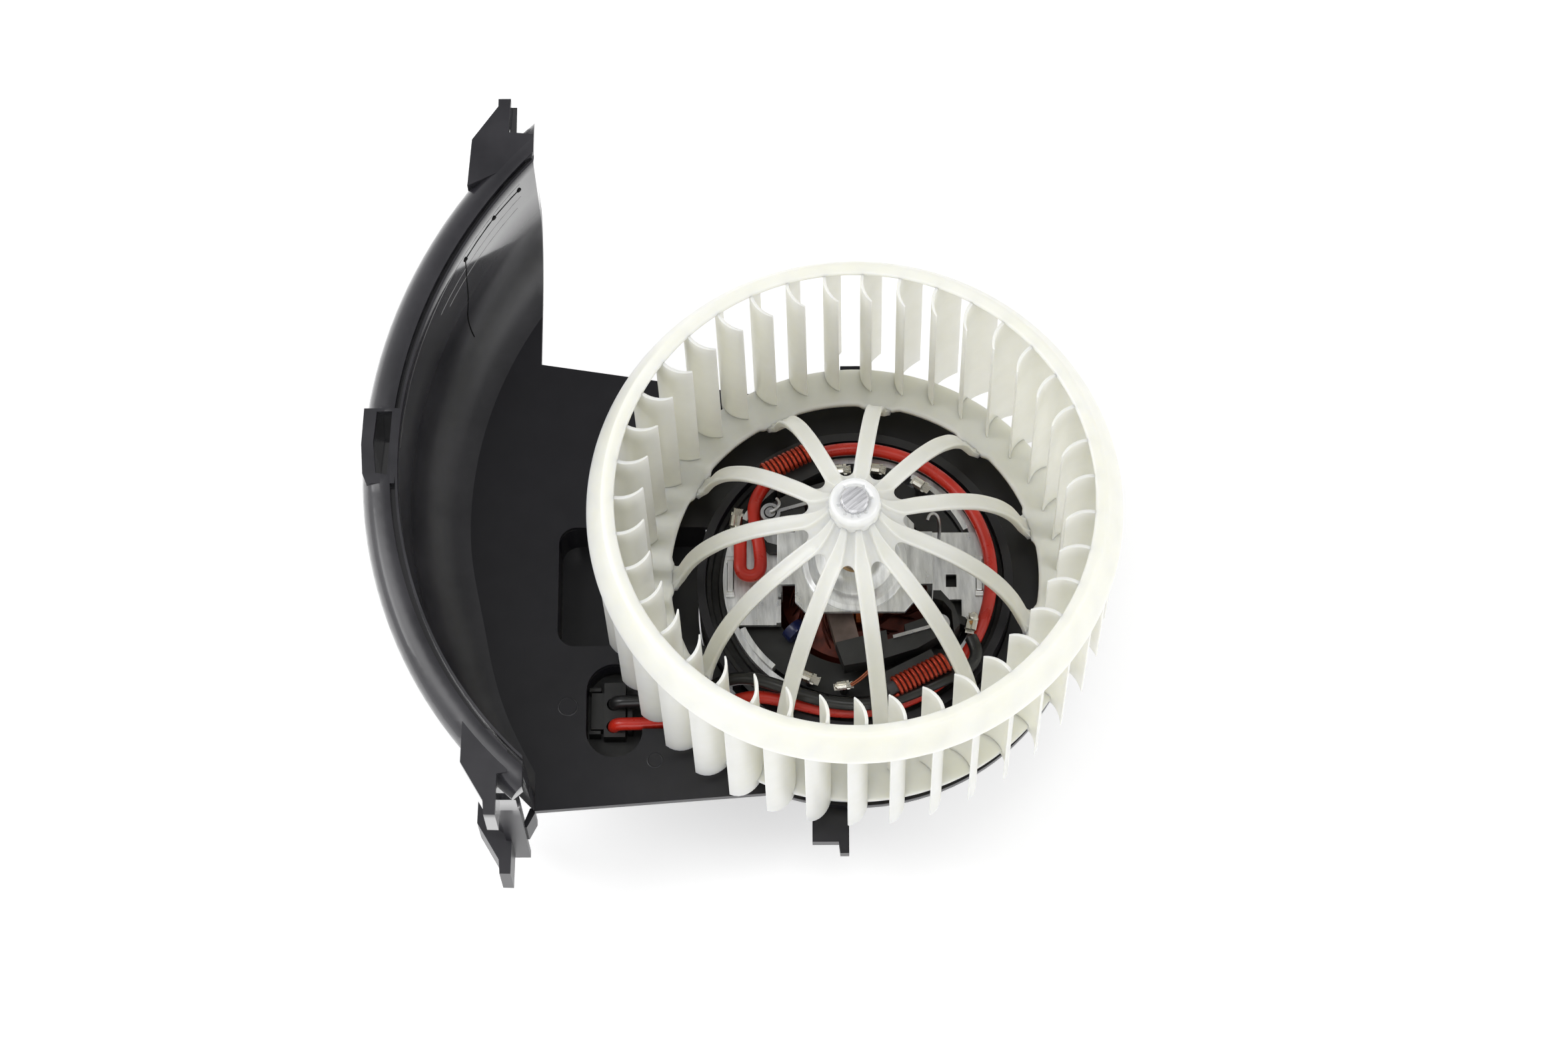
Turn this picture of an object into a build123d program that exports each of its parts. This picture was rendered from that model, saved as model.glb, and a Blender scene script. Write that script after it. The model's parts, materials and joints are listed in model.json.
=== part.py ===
"""Heater blower: a forward-curved wheel on its motor, in the motor half of a scroll housing.

The frame: millimetres, +Z along the wheel's axis from the motor's rear cover to the wheel's open
front. The origin is the centre of the flat rear face that the blower stands on. +Y runs up the
housing's long side, and -X points to the scroll wall.
"""
from build123d import *
from math import atan2, cos, degrees, pi, radians, sin, sqrt, tan
import os

# ---------------------------------------------------------------- driving dimensions
# axial stations, from the rear face
PLATE_TOP = 47.0            # front face of the housing's flat plate
PLATE_THICK = 2.5
LIP_TOP = 97.0              # joint face of the scroll wall
WHEEL_BACK = 50.2           # free ends of the blades
RIM_BACK = 115.0            # largest edge of the front rim
RIM_TOP = 125.0
HUB_TOP = 120.7
SHAFT_END = 121.8

# the wheel
BLADE_COUNT = 39
BLADE_INNER = 58.7          # radius of the inner blade edge
BLADE_OUTER = 74.0          # radius of the outer blade edge
BLADE_THICK = 0.95
BLADE_ARC = 8.6             # radius of the blade's section
BLADE_ARC_CENTRE = (65.3, -8.0)     # radial and tangential place of that arc's centre
BLADE_PHASE = 4.32          # degrees, of the first blade
RIM_OUTER = 75.0
RIM_FRONT = 69.8
RIM_INNER = 66.6
RIM_WALL = 1.6
RING_INNER = 52.6           # back ring, a shallow cone
RING_OUTER = 66.8
RING_INNER_Z = 59.5
RING_OUTER_Z = 54.7
RING_THICK = 1.9
SPOKE_COUNT = 11
SPOKE_PHASE = -16.0         # degrees
SPOKE_WIDTH = 4.8
SPOKE_THICK = 2.0
SLOT_START = 14.1           # radius where the slots between spokes begin
SLOT_CORNER = 1.7
HUB_RADIUS = 6.9
HUB_BASE = 98.0             # rear end of the hub

# shaft and motor
SHAFT_RADIUS = 4.0
RUNNING_GAP = 0.03          # radial clearance of the shaft in its bearings
CAN_RADIUS = 38.4
CAN_WALL = 1.8
CAN_BASE = 6.0
CAN_TOP = 55.2
MAGNET_INNER = 27.0
MAGNET_BOTTOM = 10.0
MAGNET_TOP = 47.0
CORE_RADIUS = 26.2
CORE_BOTTOM = 14.0
CORE_TOP = 42.0
COMMUTATOR_RADIUS = 11.0
COMMUTATOR_BOTTOM = 54.0
COMMUTATOR_TOP = 66.0
BRACKET_TOP = 70.5
BRACKET_SHEET = 1.5

# motor cup of the housing
CUP_RADIUS = 46.0
CUP_WALL = 2.5
CUP_TOP = 56.0
FLANGE_RADIUS = 56.0
FLANGE_TOP = PLATE_TOP - PLATE_THICK
FLANGE_THICK = 2.5

# scroll wall: the radius of the joint line grows steadily with the angle
SCROLL_RADIUS = 129.6       # at SCROLL_ANGLE
SCROLL_ANGLE = 181.8
SCROLL_GROWTH = 0.40        # millimetres per degree
SCROLL_START = 122.0
SCROLL_END = 219.0
WALL_CUT_X = -93.3          # plane of the wall's upper end
WALL_END_X = -92.6          # plane of its lower end
WALL_DRAFT = 3.4            # the wall's foot stands this far inside the joint line
WALL_FILLET = 16.0          # between plate and wall, up to FILLET_FADE
WALL_FILLET_END = 3.5       # at SCROLL_END
FILLET_FADE = 186.0
FLANGE_WIDTH = 8.3          # joint flange, outside the joint line
ROUND_END = 66.0            # radius of the plate's round end

# motor details
BRACKET_RISE = 22.4         # outer face of the bracket's two risers
NECK_SOUTH = -6.6           # edges of the necks between the risers and the middle
NECK_NORTH = 9.4
WING_HALF = 14.2            # half width of the bracket's wings
TAB_SOUTH = -4.4            # ends of the can's tabs, which are staked over the wings
TAB_NORTH = 5.4
ARC_ANGLES = ((25, 62), (205, 229))     # where the can's inner collar stands above the card
ARC_TOP = 57.2

# brush gear
ARM_PIVOT = (24.4, -17.2)
ARM_BOTTOM = 57.6
ARM_TOP = 64.8
PIN_RADIUS = 1.5
CARD_RADIUS = 34.6
CARD_FLOOR = 50.6
CARD_TOP = 52.0
SHELF_BOTTOM = 61.8

# chokes, terminals and suppressor
CHOKE_CENTRE = (18.4, -33.0)
CHOKE_ANGLE = 27.0
CHOKE_Z = 67.2
CHOKE_RADIUS = 3.1
CHOKE_LENGTH = 18.0
CRIMP_Z = 60.2
# each terminal: x, y, direction in degrees, length, width
CRIMPS = [(-34.4, 17.0, 80, 7.0, 3.2), (-4.0, 32.4, 5, 6.0, 3.0), (6.8, 32.6, -8, 5.0, 3.0),
          (19.4, 27.6, -35, 6.0, 3.0), (33.6, -15.4, 78, 6.0, 3.2), (-3.4, -34.2, 8, 5.6, 2.4),
          (-13.6, -31.6, -22, 7.0, 3.0)]
CAPACITOR = (-17.4, -15.6, 55.6)

# leads: points that each one passes near
LEAD_DIAMETER = 3.8
LEAD_END = 38.4             # inside the insert, on the contact blades
RED_ROUTE = [
    (-33.0, 13.1, 61.9), (-33.3, 8.6, 62.1), (-33.2, 4.8, 62.3), (-33.3, 1.0, 62.4), (-32.2, -0.6, 62.4),
    (-30.3, -1.2, 62.4), (-28.4, -0.6, 62.4), (-27.3, 1.0, 62.4), (-27.3, 4.6, 62.3), (-27.9, 9.2, 62.2),
    (-29.2, 15.8, 62.4), (-29.4, 23.2, 61.0), (-23.0, 32.2, 59.3), (-12.0, 38.2, 59.0),
    (0.0, 40.2, 59.0), (12.0, 38.2, 59.0), (22.6, 33.2, 59.0), (31.6, 24.8, 59.0), (37.4, 14.6, 59.0),
    (40.0, 3.0, 59.0), (39.0, -9.0, 59.0), (34.8, -20.0, 57.6), (27.6, -30.0, 57.2), (17.0, -37.2, 57.4),
    (5.0, -41.0, 57.6), (-7.0, -41.0, 57.6), (-18.4, -38.2, 57.9), (-28.0, -35.8, 57.0), (-35.6, -35.9, 52.6),
    (-42.4, -37.4, 47.2), (-49.4, -39.2, 44.7), (-57.2, -40.0, 44.6), (-64.4, -40.2, 44.9),
    (-70.5, -40.2, 44.4), (-70.5, -40.2, LEAD_END),
]
BLACK_ROUTE = [
    (33.4, -20.0, 61.6), (35.4, -24.0, 62.0), (33.8, -28.8, 62.2), (28.0, -31.8, 62.4), (19.0, -36.0, 62.4),
    (9.0, -39.8, 62.2), (-2.0, -40.6, 62.2), (-13.0, -38.4, 62.4), (-23.0, -34.0, 61.8), (-31.6, -30.6, 58.6),
    (-38.6, -30.2, 53.2), (-45.2, -31.4, 47.6), (-51.8, -32.4, 45.0), (-58.4, -33.0, 44.6),
    (-64.6, -33.3, 44.9), (-70.5, -33.4, 44.4), (-70.5, -33.4, LEAD_END),
]

# features of the housing behind the plate
CHANNEL = (-87.0, -44.0, -17.0, 20.0)
CHANNEL_FLOOR = 30.0
SOCKET_CENTRE = (-70.0, -36.8)
TROUGH_FLOOR = 41.6
BOSS_CENTRE = (-88.0, -35.6)
BOSS_PILOT = 1.9
INSERT_FLOOR = 35.4
INSERT_TOP = 42.4
SOCKET_LONG = 28.4          # stadium-shaped opening of the socket
SOCKET_WIDE = 16.4
SHROUD_END = 24.0           # rear end of the socket's shroud
CLIP_DEPTH = 15.0
LUG_DEPTH = 15.0
LUG_TOP = 96.8              # seat of the lugs, a little under the joint face
LOWER_LUG_TOP = 38.0
END_FLANGE_FOOT = 20.0

# screws of the cup's flange
SCREW_ANGLES = (20, 100, 300)
SCREW_CIRCLE = 51.5
SCREW_HEAD = 3.6
SCREW_SHANK = 1.9
SCREW_BITE = 1.8            # depth of the pilot holes in the plate's rear

# contacts in the socket
BLADE_OFFSET = 3.4


def ring(r_out, r_in, z0, z1):
    """A plain ring about the wheel's axis."""
    body = Pos(0, 0, z0) * Cylinder(r_out, z1 - z0, align=(Align.CENTER, Align.CENTER, Align.MIN))
    hole = Pos(0, 0, z0 - 1) * Cylinder(r_in, z1 - z0 + 2, align=(Align.CENTER, Align.CENTER, Align.MIN))
    return body - hole


def disc(r, z0, z1, x=0.0, y=0.0):
    """A plain cylinder along Z."""
    return Pos(x, y, z0) * Cylinder(r, z1 - z0, align=(Align.CENTER, Align.CENTER, Align.MIN))


def block(x0, x1, y0, y1, z0, z1):
    """A plain box given by its limits."""
    return Pos((x0 + x1) / 2, (y0 + y1) / 2, (z0 + z1) / 2) * Box(x1 - x0, y1 - y0, z1 - z0)


def prism(points, z0, z1):
    """A polygon of (x, y) points, raised from z0 to z1."""
    return extrude(Pos(0, 0, z0) * make_face(Polyline(*points, close=True)), z1 - z0)


def revolved(points):
    """A polygon of (r, z) points, turned about the wheel's axis."""
    face = make_face(Polyline(*[(r, 0, z) for r, z in points], close=True))
    return revolve(face, Axis.Z, 360)


def polar(r, angle):
    """Cartesian point of a radius and an angle in degrees."""
    return r * cos(radians(angle)), r * sin(radians(angle))


def spun(solid, angle):
    """A solid turned about the wheel's axis."""
    return Rot(0, 0, angle) * solid


# ---------------------------------------------------------------- the wheel
def blade():
    """One forward-curved blade, standing on the X axis."""
    cx, cy = BLADE_ARC_CENTRE
    outer = Pos(cx, cy) * Circle(BLADE_ARC + BLADE_THICK / 2)
    inner = Pos(cx, cy) * Circle(BLADE_ARC - BLADE_THICK / 2)
    above = Pos(65, 2) * Rectangle(30, 14)
    span = Circle(BLADE_OUTER) - Circle(BLADE_INNER)
    section = (outer - inner) & above & span
    return extrude(Pos(0, 0, WHEEL_BACK) * section, RIM_TOP - 0.6 - WHEEL_BACK)


def rim_profile():
    """Section of the conical front rim, as (r, z)."""
    return [
        (RIM_OUTER, RIM_BACK),
        (RIM_FRONT + 0.6, RIM_TOP - 0.5),
        (RIM_FRONT - 0.2, RIM_TOP),
        (RIM_INNER + 0.4, RIM_TOP - 0.2),
        (RIM_INNER, RIM_TOP - 0.8),
        (RIM_INNER + 0.5, RIM_TOP - 2.0),
        (RIM_FRONT - 1.2, RIM_TOP - 2.2),
        (RIM_OUTER - RIM_WALL, RIM_BACK),
    ]


def spider():
    """Domed hub and spokes, cut from one shell turned about the axis."""
    dome = [(14.5, 105.0), (24.0, 101.0), (34.0, 94.6), (40.5, 87.6), (46.0, 78.5), (50.0, 67.5)]
    front = [(HUB_RADIUS + 0.5, 115.5), (10.4, 108.6)] + dome + [(RING_INNER + 0.6, RING_INNER_Z)]
    back = [(RING_INNER - 1.6, RING_INNER_Z - RING_THICK)]
    back += [(r - 1.0, z - SPOKE_THICK) for r, z in dome[::-1]]
    hub = [(HUB_RADIUS + 0.3, HUB_BASE), (HUB_RADIUS - 0.4, HUB_BASE - 5), (SHAFT_RADIUS, HUB_BASE - 6),
           (SHAFT_RADIUS, HUB_TOP - 0.4)]
    crown = [(SHAFT_RADIUS + 0.6, HUB_TOP), (HUB_RADIUS - 0.8, HUB_TOP), (HUB_RADIUS, HUB_TOP - 0.8)]
    shell = revolved(front + back + hub + crown)
    pitch = 360 / SPOKE_COUNT
    for k in range(SPOKE_COUNT):
        shell -= spun(slot_cutter(pitch), SPOKE_PHASE + pitch * k)
    return shell


def slot_cutter(pitch):
    """The gap between the spoke on the X axis and the next one."""
    half = SPOKE_WIDTH / 2
    reach = 70.0
    turn = radians(pitch)
    corner = half / sin(turn / 2)
    tip = (corner * cos(turn / 2), corner * sin(turn / 2))
    far_a = (reach, half)
    far_b = (reach * cos(turn) + half * sin(turn), reach * sin(turn) - half * cos(turn))
    wedge = make_face(Polyline(tip, far_a, far_b, close=True))
    zone = Circle(RING_INNER - 0.4) - Circle(SLOT_START)
    gap = wedge & zone
    gap = fillet(gap.vertices(), SLOT_CORNER)
    return extrude(Pos(0, 0, 50) * gap, 70)


def wheel_rim():
    return revolved(rim_profile())


def wheel_back_ring():
    """Shallow cone between the spokes' feet and the blades."""
    return revolved([
        (RING_INNER, RING_INNER_Z),
        (RING_OUTER, RING_OUTER_Z),
        (RING_OUTER, RING_OUTER_Z - RING_THICK),
        (RING_INNER - 0.4, RING_INNER_Z - RING_THICK),
        (RING_INNER - 0.8, RING_INNER_Z - 0.6),
    ])


def wheel_blades(rim, back_ring):
    """All blades: each ends in the rim and straddles the back ring."""
    cone = revolved([(0, WHEEL_BACK - 5), (90, WHEEL_BACK - 5), (90, RIM_BACK - 20),
                     (RIM_OUTER - 0.8, RIM_BACK), (RIM_FRONT - 0.6, RIM_TOP - 0.8),
                     (RIM_INNER - 0.6, RIM_TOP - 0.6), (0, RIM_TOP - 2.4)])
    pieces = ((blade() & cone) - rim - back_ring).solids()
    one = max(pieces, key=lambda piece: piece.volume)
    pitch = 360 / BLADE_COUNT
    return [spun(one, BLADE_PHASE + pitch * k) for k in range(BLADE_COUNT)]


# ---------------------------------------------------------------- rotor parts inside the motor
def motor_shaft():
    tip = Pos(0, 0, SHAFT_END - 0.5) * Cone(SHAFT_RADIUS, SHAFT_RADIUS - 0.5, 0.5,
                                           align=(Align.CENTER, Align.CENTER, Align.MIN))
    return disc(SHAFT_RADIUS, 4.9, SHAFT_END - 0.5) + tip


def armature_core():
    """Slotted stack of laminations."""
    core = ring(CORE_RADIUS, SHAFT_RADIUS, CORE_BOTTOM, CORE_TOP)
    slots = 12
    for k in range(slots):
        mouth = block(CORE_RADIUS - 4, CORE_RADIUS + 2, -1.2, 1.2, CORE_BOTTOM - 1, CORE_TOP + 1)
        pocket = disc(3.4, CORE_BOTTOM - 1, CORE_TOP + 1, CORE_RADIUS - 7.5, 0)
        core -= spun(mouth + pocket, 360 / slots * k)
    return core


def armature_windings():
    """Two wound heads, each a rounded ring on one end of the core."""
    lower = [(6.0, CORE_BOTTOM), (23.0, CORE_BOTTOM), (23.8, 11.5), (21.5, 9.6), (9.0, 9.6), (6.0, 11.0)]
    upper = [(8.0, CORE_TOP), (23.0, CORE_TOP), (24.0, 45.0), (22.0, 48.0), (14.0, 50.0), (8.0, 50.0)]
    return revolved(lower), revolved(upper)


def commutator():
    body = ring(COMMUTATOR_RADIUS, SHAFT_RADIUS, COMMUTATOR_BOTTOM, COMMUTATOR_TOP)
    hooks = ring(COMMUTATOR_RADIUS + 2.2, COMMUTATOR_RADIUS - 1, COMMUTATOR_BOTTOM, COMMUTATOR_BOTTOM + 1.6)
    bars = 12
    body += hooks
    for k in range(bars):
        cut = block(COMMUTATOR_RADIUS - 1.0, COMMUTATOR_RADIUS + 4, -0.3, 0.3,
                    COMMUTATOR_BOTTOM - 1, COMMUTATOR_TOP + 1)
        body -= spun(cut, 360 / bars * k)
    return body


def thrust_washers():
    """Nylon spacers between the bearings and what turns."""
    front = ring(6.0, SHAFT_RADIUS, COMMUTATOR_TOP, COMMUTATOR_TOP + 1.2)
    rear = ring(6.0, SHAFT_RADIUS, 9.8 - 1.6, 9.6)
    return front, rear


# ---------------------------------------------------------------- fixed motor parts
def motor_can():
    """Drawn steel pot, open towards the wheel, with a boss for the rear bearing."""
    inner = CAN_RADIUS - CAN_WALL
    can = disc(CAN_RADIUS, CAN_BASE, CAN_TOP) - disc(inner, CAN_BASE + CAN_WALL, CAN_TOP + 1)
    can = fillet(can.edges().filter_by(GeomType.CIRCLE).group_by(Axis.Z)[0], 2.5)
    for start, end in ARC_ANGLES:
        middle = (start + end) / 2
        wedge = [(0, 0), polar(80, start), polar(90, middle), polar(80, end)]
        sector = prism(wedge, CAN_TOP - 4, ARC_TOP + 1)
        can += ring(inner + 0.1, inner - 1.5, CAN_TOP - 2.4, ARC_TOP) & sector
    can += disc(10.0, 3.0, CAN_BASE + 1.0)
    can -= disc(8.2, 4.4, CAN_BASE + CAN_WALL + 1)
    for angle in (45, 135, 225, 315):
        x, y = polar(24, angle)
        can -= disc(3.2, CAN_BASE - 1, CAN_BASE + CAN_WALL + 1, x, y)
    return can


def rear_bearing():
    """Sintered bearing with a rounded seat."""
    profile = [(SHAFT_RADIUS + RUNNING_GAP, 4.6), (6.6, 4.6), (8.0, 5.4), (8.0, 7.0), (6.6, 7.9),
               (SHAFT_RADIUS + RUNNING_GAP, 7.9)]
    return revolved(profile)


def magnet(angle):
    """One ferrite arc, 118 degrees wide."""
    arc = ring(CAN_RADIUS - CAN_WALL, MAGNET_INNER, MAGNET_BOTTOM, MAGNET_TOP)
    half = 59
    reach = 90.0
    wedge = [(0, 0), polar(reach, -half), (reach, 0), polar(reach, half)]
    keep = prism(wedge, MAGNET_BOTTOM - 1, MAGNET_TOP + 1)
    return spun(arc & keep, angle)


def magnet_springs():
    """Two V springs that spread the magnets against the can."""
    found = []
    for angle in (90, 270):
        arc = ring(CAN_RADIUS - CAN_WALL, CAN_RADIUS - CAN_WALL - 1.0, MAGNET_BOTTOM + 2, MAGNET_TOP - 2)
        keep = prism([(0, 0), polar(60, -28), polar(60, 28)], MAGNET_BOTTOM, MAGNET_TOP)
        found.append(spun(arc & keep, angle))
    return found


def end_bracket():
    """Pressed steel bridge: two wings on the can's rim and a raised middle with the bearing dome."""
    low = CAN_TOP
    sheet = BRACKET_SHEET
    high = BRACKET_TOP - sheet
    half = WING_HALF
    parts = []
    for side in (-1, 1):
        outline = [(22, NECK_SOUTH), (31, NECK_SOUTH), (31, -half), (39, -half), (39, half), (22, half)]
        if side < 0:
            outline = [(-39, -half), (-22, -half), (-22, half), (-39, half)]
        wing = prism(outline, low, low + sheet) & disc(CAN_RADIUS, low - 1, low + sheet + 1)
        slot_x = sorted((side * 35.2, side * 37.2))
        wing -= block(*slot_x, TAB_SOUTH - 0.8, TAB_NORTH + 0.8, low - 1, low + 3)
        riser_x = sorted((side * (BRACKET_RISE - sheet), side * BRACKET_RISE))
        riser = block(*riser_x, NECK_SOUTH, NECK_NORTH, low, BRACKET_TOP)
        neck_x = sorted((side * 15, side * BRACKET_RISE))
        neck = block(*neck_x, NECK_SOUTH, NECK_NORTH, high, BRACKET_TOP)
        foot_x = sorted((side * (BRACKET_RISE - sheet), side * 24))
        foot = block(*foot_x, NECK_SOUTH, NECK_NORTH, low, low + sheet)
        parts += [wing, riser, neck, foot]
    # folded edge of the left wing, beside the riser
    parts.append(block(-22.8, -21.4, -half, NECK_SOUTH - 0.4, low, low + 3.6))
    middle = prism([(-17.2, -11.8), (-14.3, -15.1), (14.3, -15.1), (17.2, -11.8), (17.2, 11.8), (14.3, 15.1),
                    (-14.3, 15.1), (-17.2, 11.8)], high, BRACKET_TOP)
    middle -= disc(12.4, high - 1, BRACKET_TOP + 1)
    dome = revolved([(15.0, BRACKET_TOP - 0.2), (15.0, BRACKET_TOP + 0.5), (13.4, BRACKET_TOP + 0.8),
                     (12.4, BRACKET_TOP + 2.2), (11.4, BRACKET_TOP + 4.6), (8.2, BRACKET_TOP + 6.2),
                     (5.4, BRACKET_TOP + 6.6), (5.4, BRACKET_TOP + 5.1), (7.6, BRACKET_TOP + 4.8),
                     (10.3, BRACKET_TOP + 3.0), (12.0, BRACKET_TOP - 0.2)])
    bracket = middle.fuse(dome, *parts)
    eye = block(26.5, 29.6, -2.7, 1.2, low - 1, low + 3)
    return bracket - eye


def front_bearing():
    profile = [(SHAFT_RADIUS + RUNNING_GAP, 68.0), (7.0, 68.0), (9.0, 70.0), (9.4, 71.8),
               (8.6, 74.2), (7.2, 75.2), (SHAFT_RADIUS + RUNNING_GAP, 75.2)]
    return revolved(profile)


def bearing_clamp():
    """Spring washer that holds the front bearing up in its dome."""
    return ring(12.0, 9.1, 69.0, 69.9)


def rim_tabs():
    """Tabs of the can, staked over the bracket's wings at both ends."""
    found = []
    base = CAN_TOP + BRACKET_SHEET
    for side in (-1, 1):
        x0, x1 = sorted((side * 35.4, side * 37.0))
        stem = block(x0, x1, TAB_SOUTH, TAB_NORTH, CAN_TOP, base + 1.8)
        south = block(x0 - 0.5, x1 + 0.5, TAB_SOUTH - 1.4, TAB_SOUTH + 0.8, base, base + 1.1)
        north = block(x0 - 0.5, x1 + 0.5, TAB_NORTH - 0.8, TAB_NORTH + 1.4, base, base + 1.1)
        found.append(stem + south + north)
    return found


# ---------------------------------------------------------------- brush gear


def brush_card():
    """Plastic ring that carries the brush arms, the chokes and the terminals."""
    card = ring(CARD_RADIUS, 25.0, CARD_FLOOR, CARD_TOP)
    px, py = ARM_PIVOT
    fin = [(22.6, -7.4), (24.8, -7.4), (28.6, -12.0), (30.2, -17.4), (28.4, -20.0), (27.8, -13.6),
           (25.4, -10.6), (22.6, -9.8)]
    root = CARD_TOP - 1
    for turn, fin_top in ((0, 67.0), (180, 59.0)):
        post = disc(3.0, CARD_FLOOR, ARM_BOTTOM - 0.6, px, py) - disc(PIN_RADIUS, CARD_TOP, ARM_TOP, px, py)
        cradle = spun(block(31.6, 33.8, -8.1, 8.1, root, SHELF_BOTTOM + 0.2), CHOKE_ANGLE - 90)
        shelf = spun(block(31.6, 37.6, -8.4, 8.4, SHELF_BOTTOM, CHOKE_Z - CHOKE_RADIUS), CHOKE_ANGLE - 90)
        card += spun(post + cradle + shelf + prism(fin, root, fin_top), turn)
    for x, y, angle, length, width in CRIMPS:
        reach = sqrt(x * x + y * y)
        direction = degrees(atan2(y, x))
        root_x, root_y = polar(min(reach, CARD_RADIUS - 1.4), direction)
        card += disc(1.2, root, CRIMP_Z, root_x, root_y)
        if reach > CARD_RADIUS - 1.4:
            card += spun(block(CARD_RADIUS - 2.4, reach, -1.2, 1.2, CRIMP_Z - 1.8, CRIMP_Z), direction)
    cx, cy, cz = CAPACITOR
    card += disc(3.4, CARD_FLOOR, CARD_TOP, cx, cy)
    # room for the bracket's two wings
    for x0, x1 in ((-39, -22.2), (30.8, 39)):
        card -= block(x0, x1, -WING_HALF - 0.2, WING_HALF + 0.2, CAN_TOP - 0.1, CAN_TOP + BRACKET_SHEET + 0.1)
    return card


def pivot_pins():
    px, py = ARM_PIVOT
    return [disc(PIN_RADIUS, 52.0, ARM_TOP + 1.6, px * s, py * s) for s in (1, -1)]


def brush_arm(turn):
    """Hammer-type arm: it swings on its pin and holds the carbon brush at its free end."""
    px, py = ARM_PIVOT
    outline = [(-5.6, -22.4), (1.4, -20.6), (9.0, -18.6), (9.4, -21.6), (14.6, -19.8), (14.2, -17.0),
               (21.0, -14.6), (24.4, -14.2), (27.2, -17.2), (24.6, -20.2), (18.0, -24.2), (8.0, -27.4),
               (2.6, -28.4), (-3.2, -29.4)]
    arm = prism(outline, ARM_BOTTOM, ARM_TOP)
    arm += disc(3.0, ARM_BOTTOM, ARM_TOP, px, py)
    arm -= disc(PIN_RADIUS + 0.05, ARM_BOTTOM - 1, ARM_TOP + 1, px, py)
    return spun(arm, turn)


def carbon_brush(turn):
    """Carbon block whose end is ground to the commutator."""
    tilt = -14.0
    brush = block(-3.5, 3.5, -22.6, -8.0, ARM_BOTTOM + 0.4, ARM_TOP - 0.2)
    brush = Pos(-2.2, -21.8, 0) * Rot(0, 0, -tilt) * Pos(0, 22.6, 0) * brush
    brush -= disc(COMMUTATOR_RADIUS + 0.32, 50, 80)
    arm = brush_arm(0)
    solids = (brush - arm).solids()
    keep = max(solids, key=lambda s: s.volume)
    return spun(keep, turn)


def arm_spring(turn):
    """Torsion spring: a few turns round the pin, with one leg along the arm."""
    px, py = ARM_PIVOT
    coil = disc(2.9, ARM_TOP, ARM_TOP + 1.4, px, py) - disc(1.9, ARM_TOP - 1, ARM_TOP + 2, px, py)
    leg = block(px - 14, px - 2.2, py - 0.5, py + 0.5, ARM_TOP, ARM_TOP + 1.0)
    leg = Pos(px, py, 0) * Rot(0, 0, 16) * Pos(-px, -py, 0) * leg
    return spun(coil + leg, turn)


# ---------------------------------------------------------------- chokes, terminals and leads


def along_choke(solid, turn):
    x, y = CHOKE_CENTRE
    return spun(Pos(x, y, CHOKE_Z) * Rot(0, 0, CHOKE_ANGLE) * Rot(0, 90, 0) * solid, turn)


def choke_coil(turn):
    return along_choke(Cylinder(CHOKE_RADIUS, CHOKE_LENGTH) - Cylinder(2.0, CHOKE_LENGTH + 2), turn)


def choke_core(turn):
    return along_choke(Cylinder(1.9, CHOKE_LENGTH + 2.6), turn)


def crimps():
    """Folded terminals: a flat blade with a closed barrel."""
    found = []
    for x, y, angle, length, width in CRIMPS:
        seat = Pos(x, y, CRIMP_Z + 0.4) * Rot(0, 0, angle)
        blade_part = seat * Box(length, width, 0.8)
        barrel = seat * Pos(0, 0, 1.0) * Rot(0, 90, 0) * Cylinder(width * 0.36, length * 0.6)
        found.append(blade_part + barrel)
    return found


def capacitor():
    """Interference suppressor: a small dipped disc on the brush card."""
    return Pos(*CAPACITOR) * Rot(0, 0, 40) * Rot(90, 0, 0) * Cylinder(3.6, 3.0)


def tube(points, diameter, name):
    """A lead: straight runs joined by arcs as large as the runs allow."""
    radii = []
    for before, here, after in zip(points, points[1:], points[2:]):
        a = Vector(*here) - Vector(*before)
        b = Vector(*after) - Vector(*here)
        turn = radians(a.get_angle(b))
        radii.append(0.45 * min(a.length, b.length) / tan(turn / 2))
    path = FilletPolyline(*points, radius=radii)
    section = Plane(origin=path @ 0, z_dir=path % 0) * Circle(diameter / 2)
    lead = sweep(section, path=path)
    expected = path.length * pi * diameter ** 2 / 4
    print(name, "length", round(path.length, 1), "smallest radius", round(min(radii), 1),
          "volume ratio", round(lead.volume / expected, 4))
    return lead


# ---------------------------------------------------------------- housing
def scroll(angle):
    """Radius of the wall's joint line at an angle in degrees."""
    return SCROLL_RADIUS - SCROLL_GROWTH * (angle - SCROLL_ANGLE)


def wall_fillet(angle):
    """Inner radius between plate and wall: it shrinks towards the wall's lower end."""
    share = max(0.0, (angle - FILLET_FADE) / (SCROLL_END - FILLET_FADE))
    return WALL_FILLET + (WALL_FILLET_END - WALL_FILLET) * share


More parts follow.
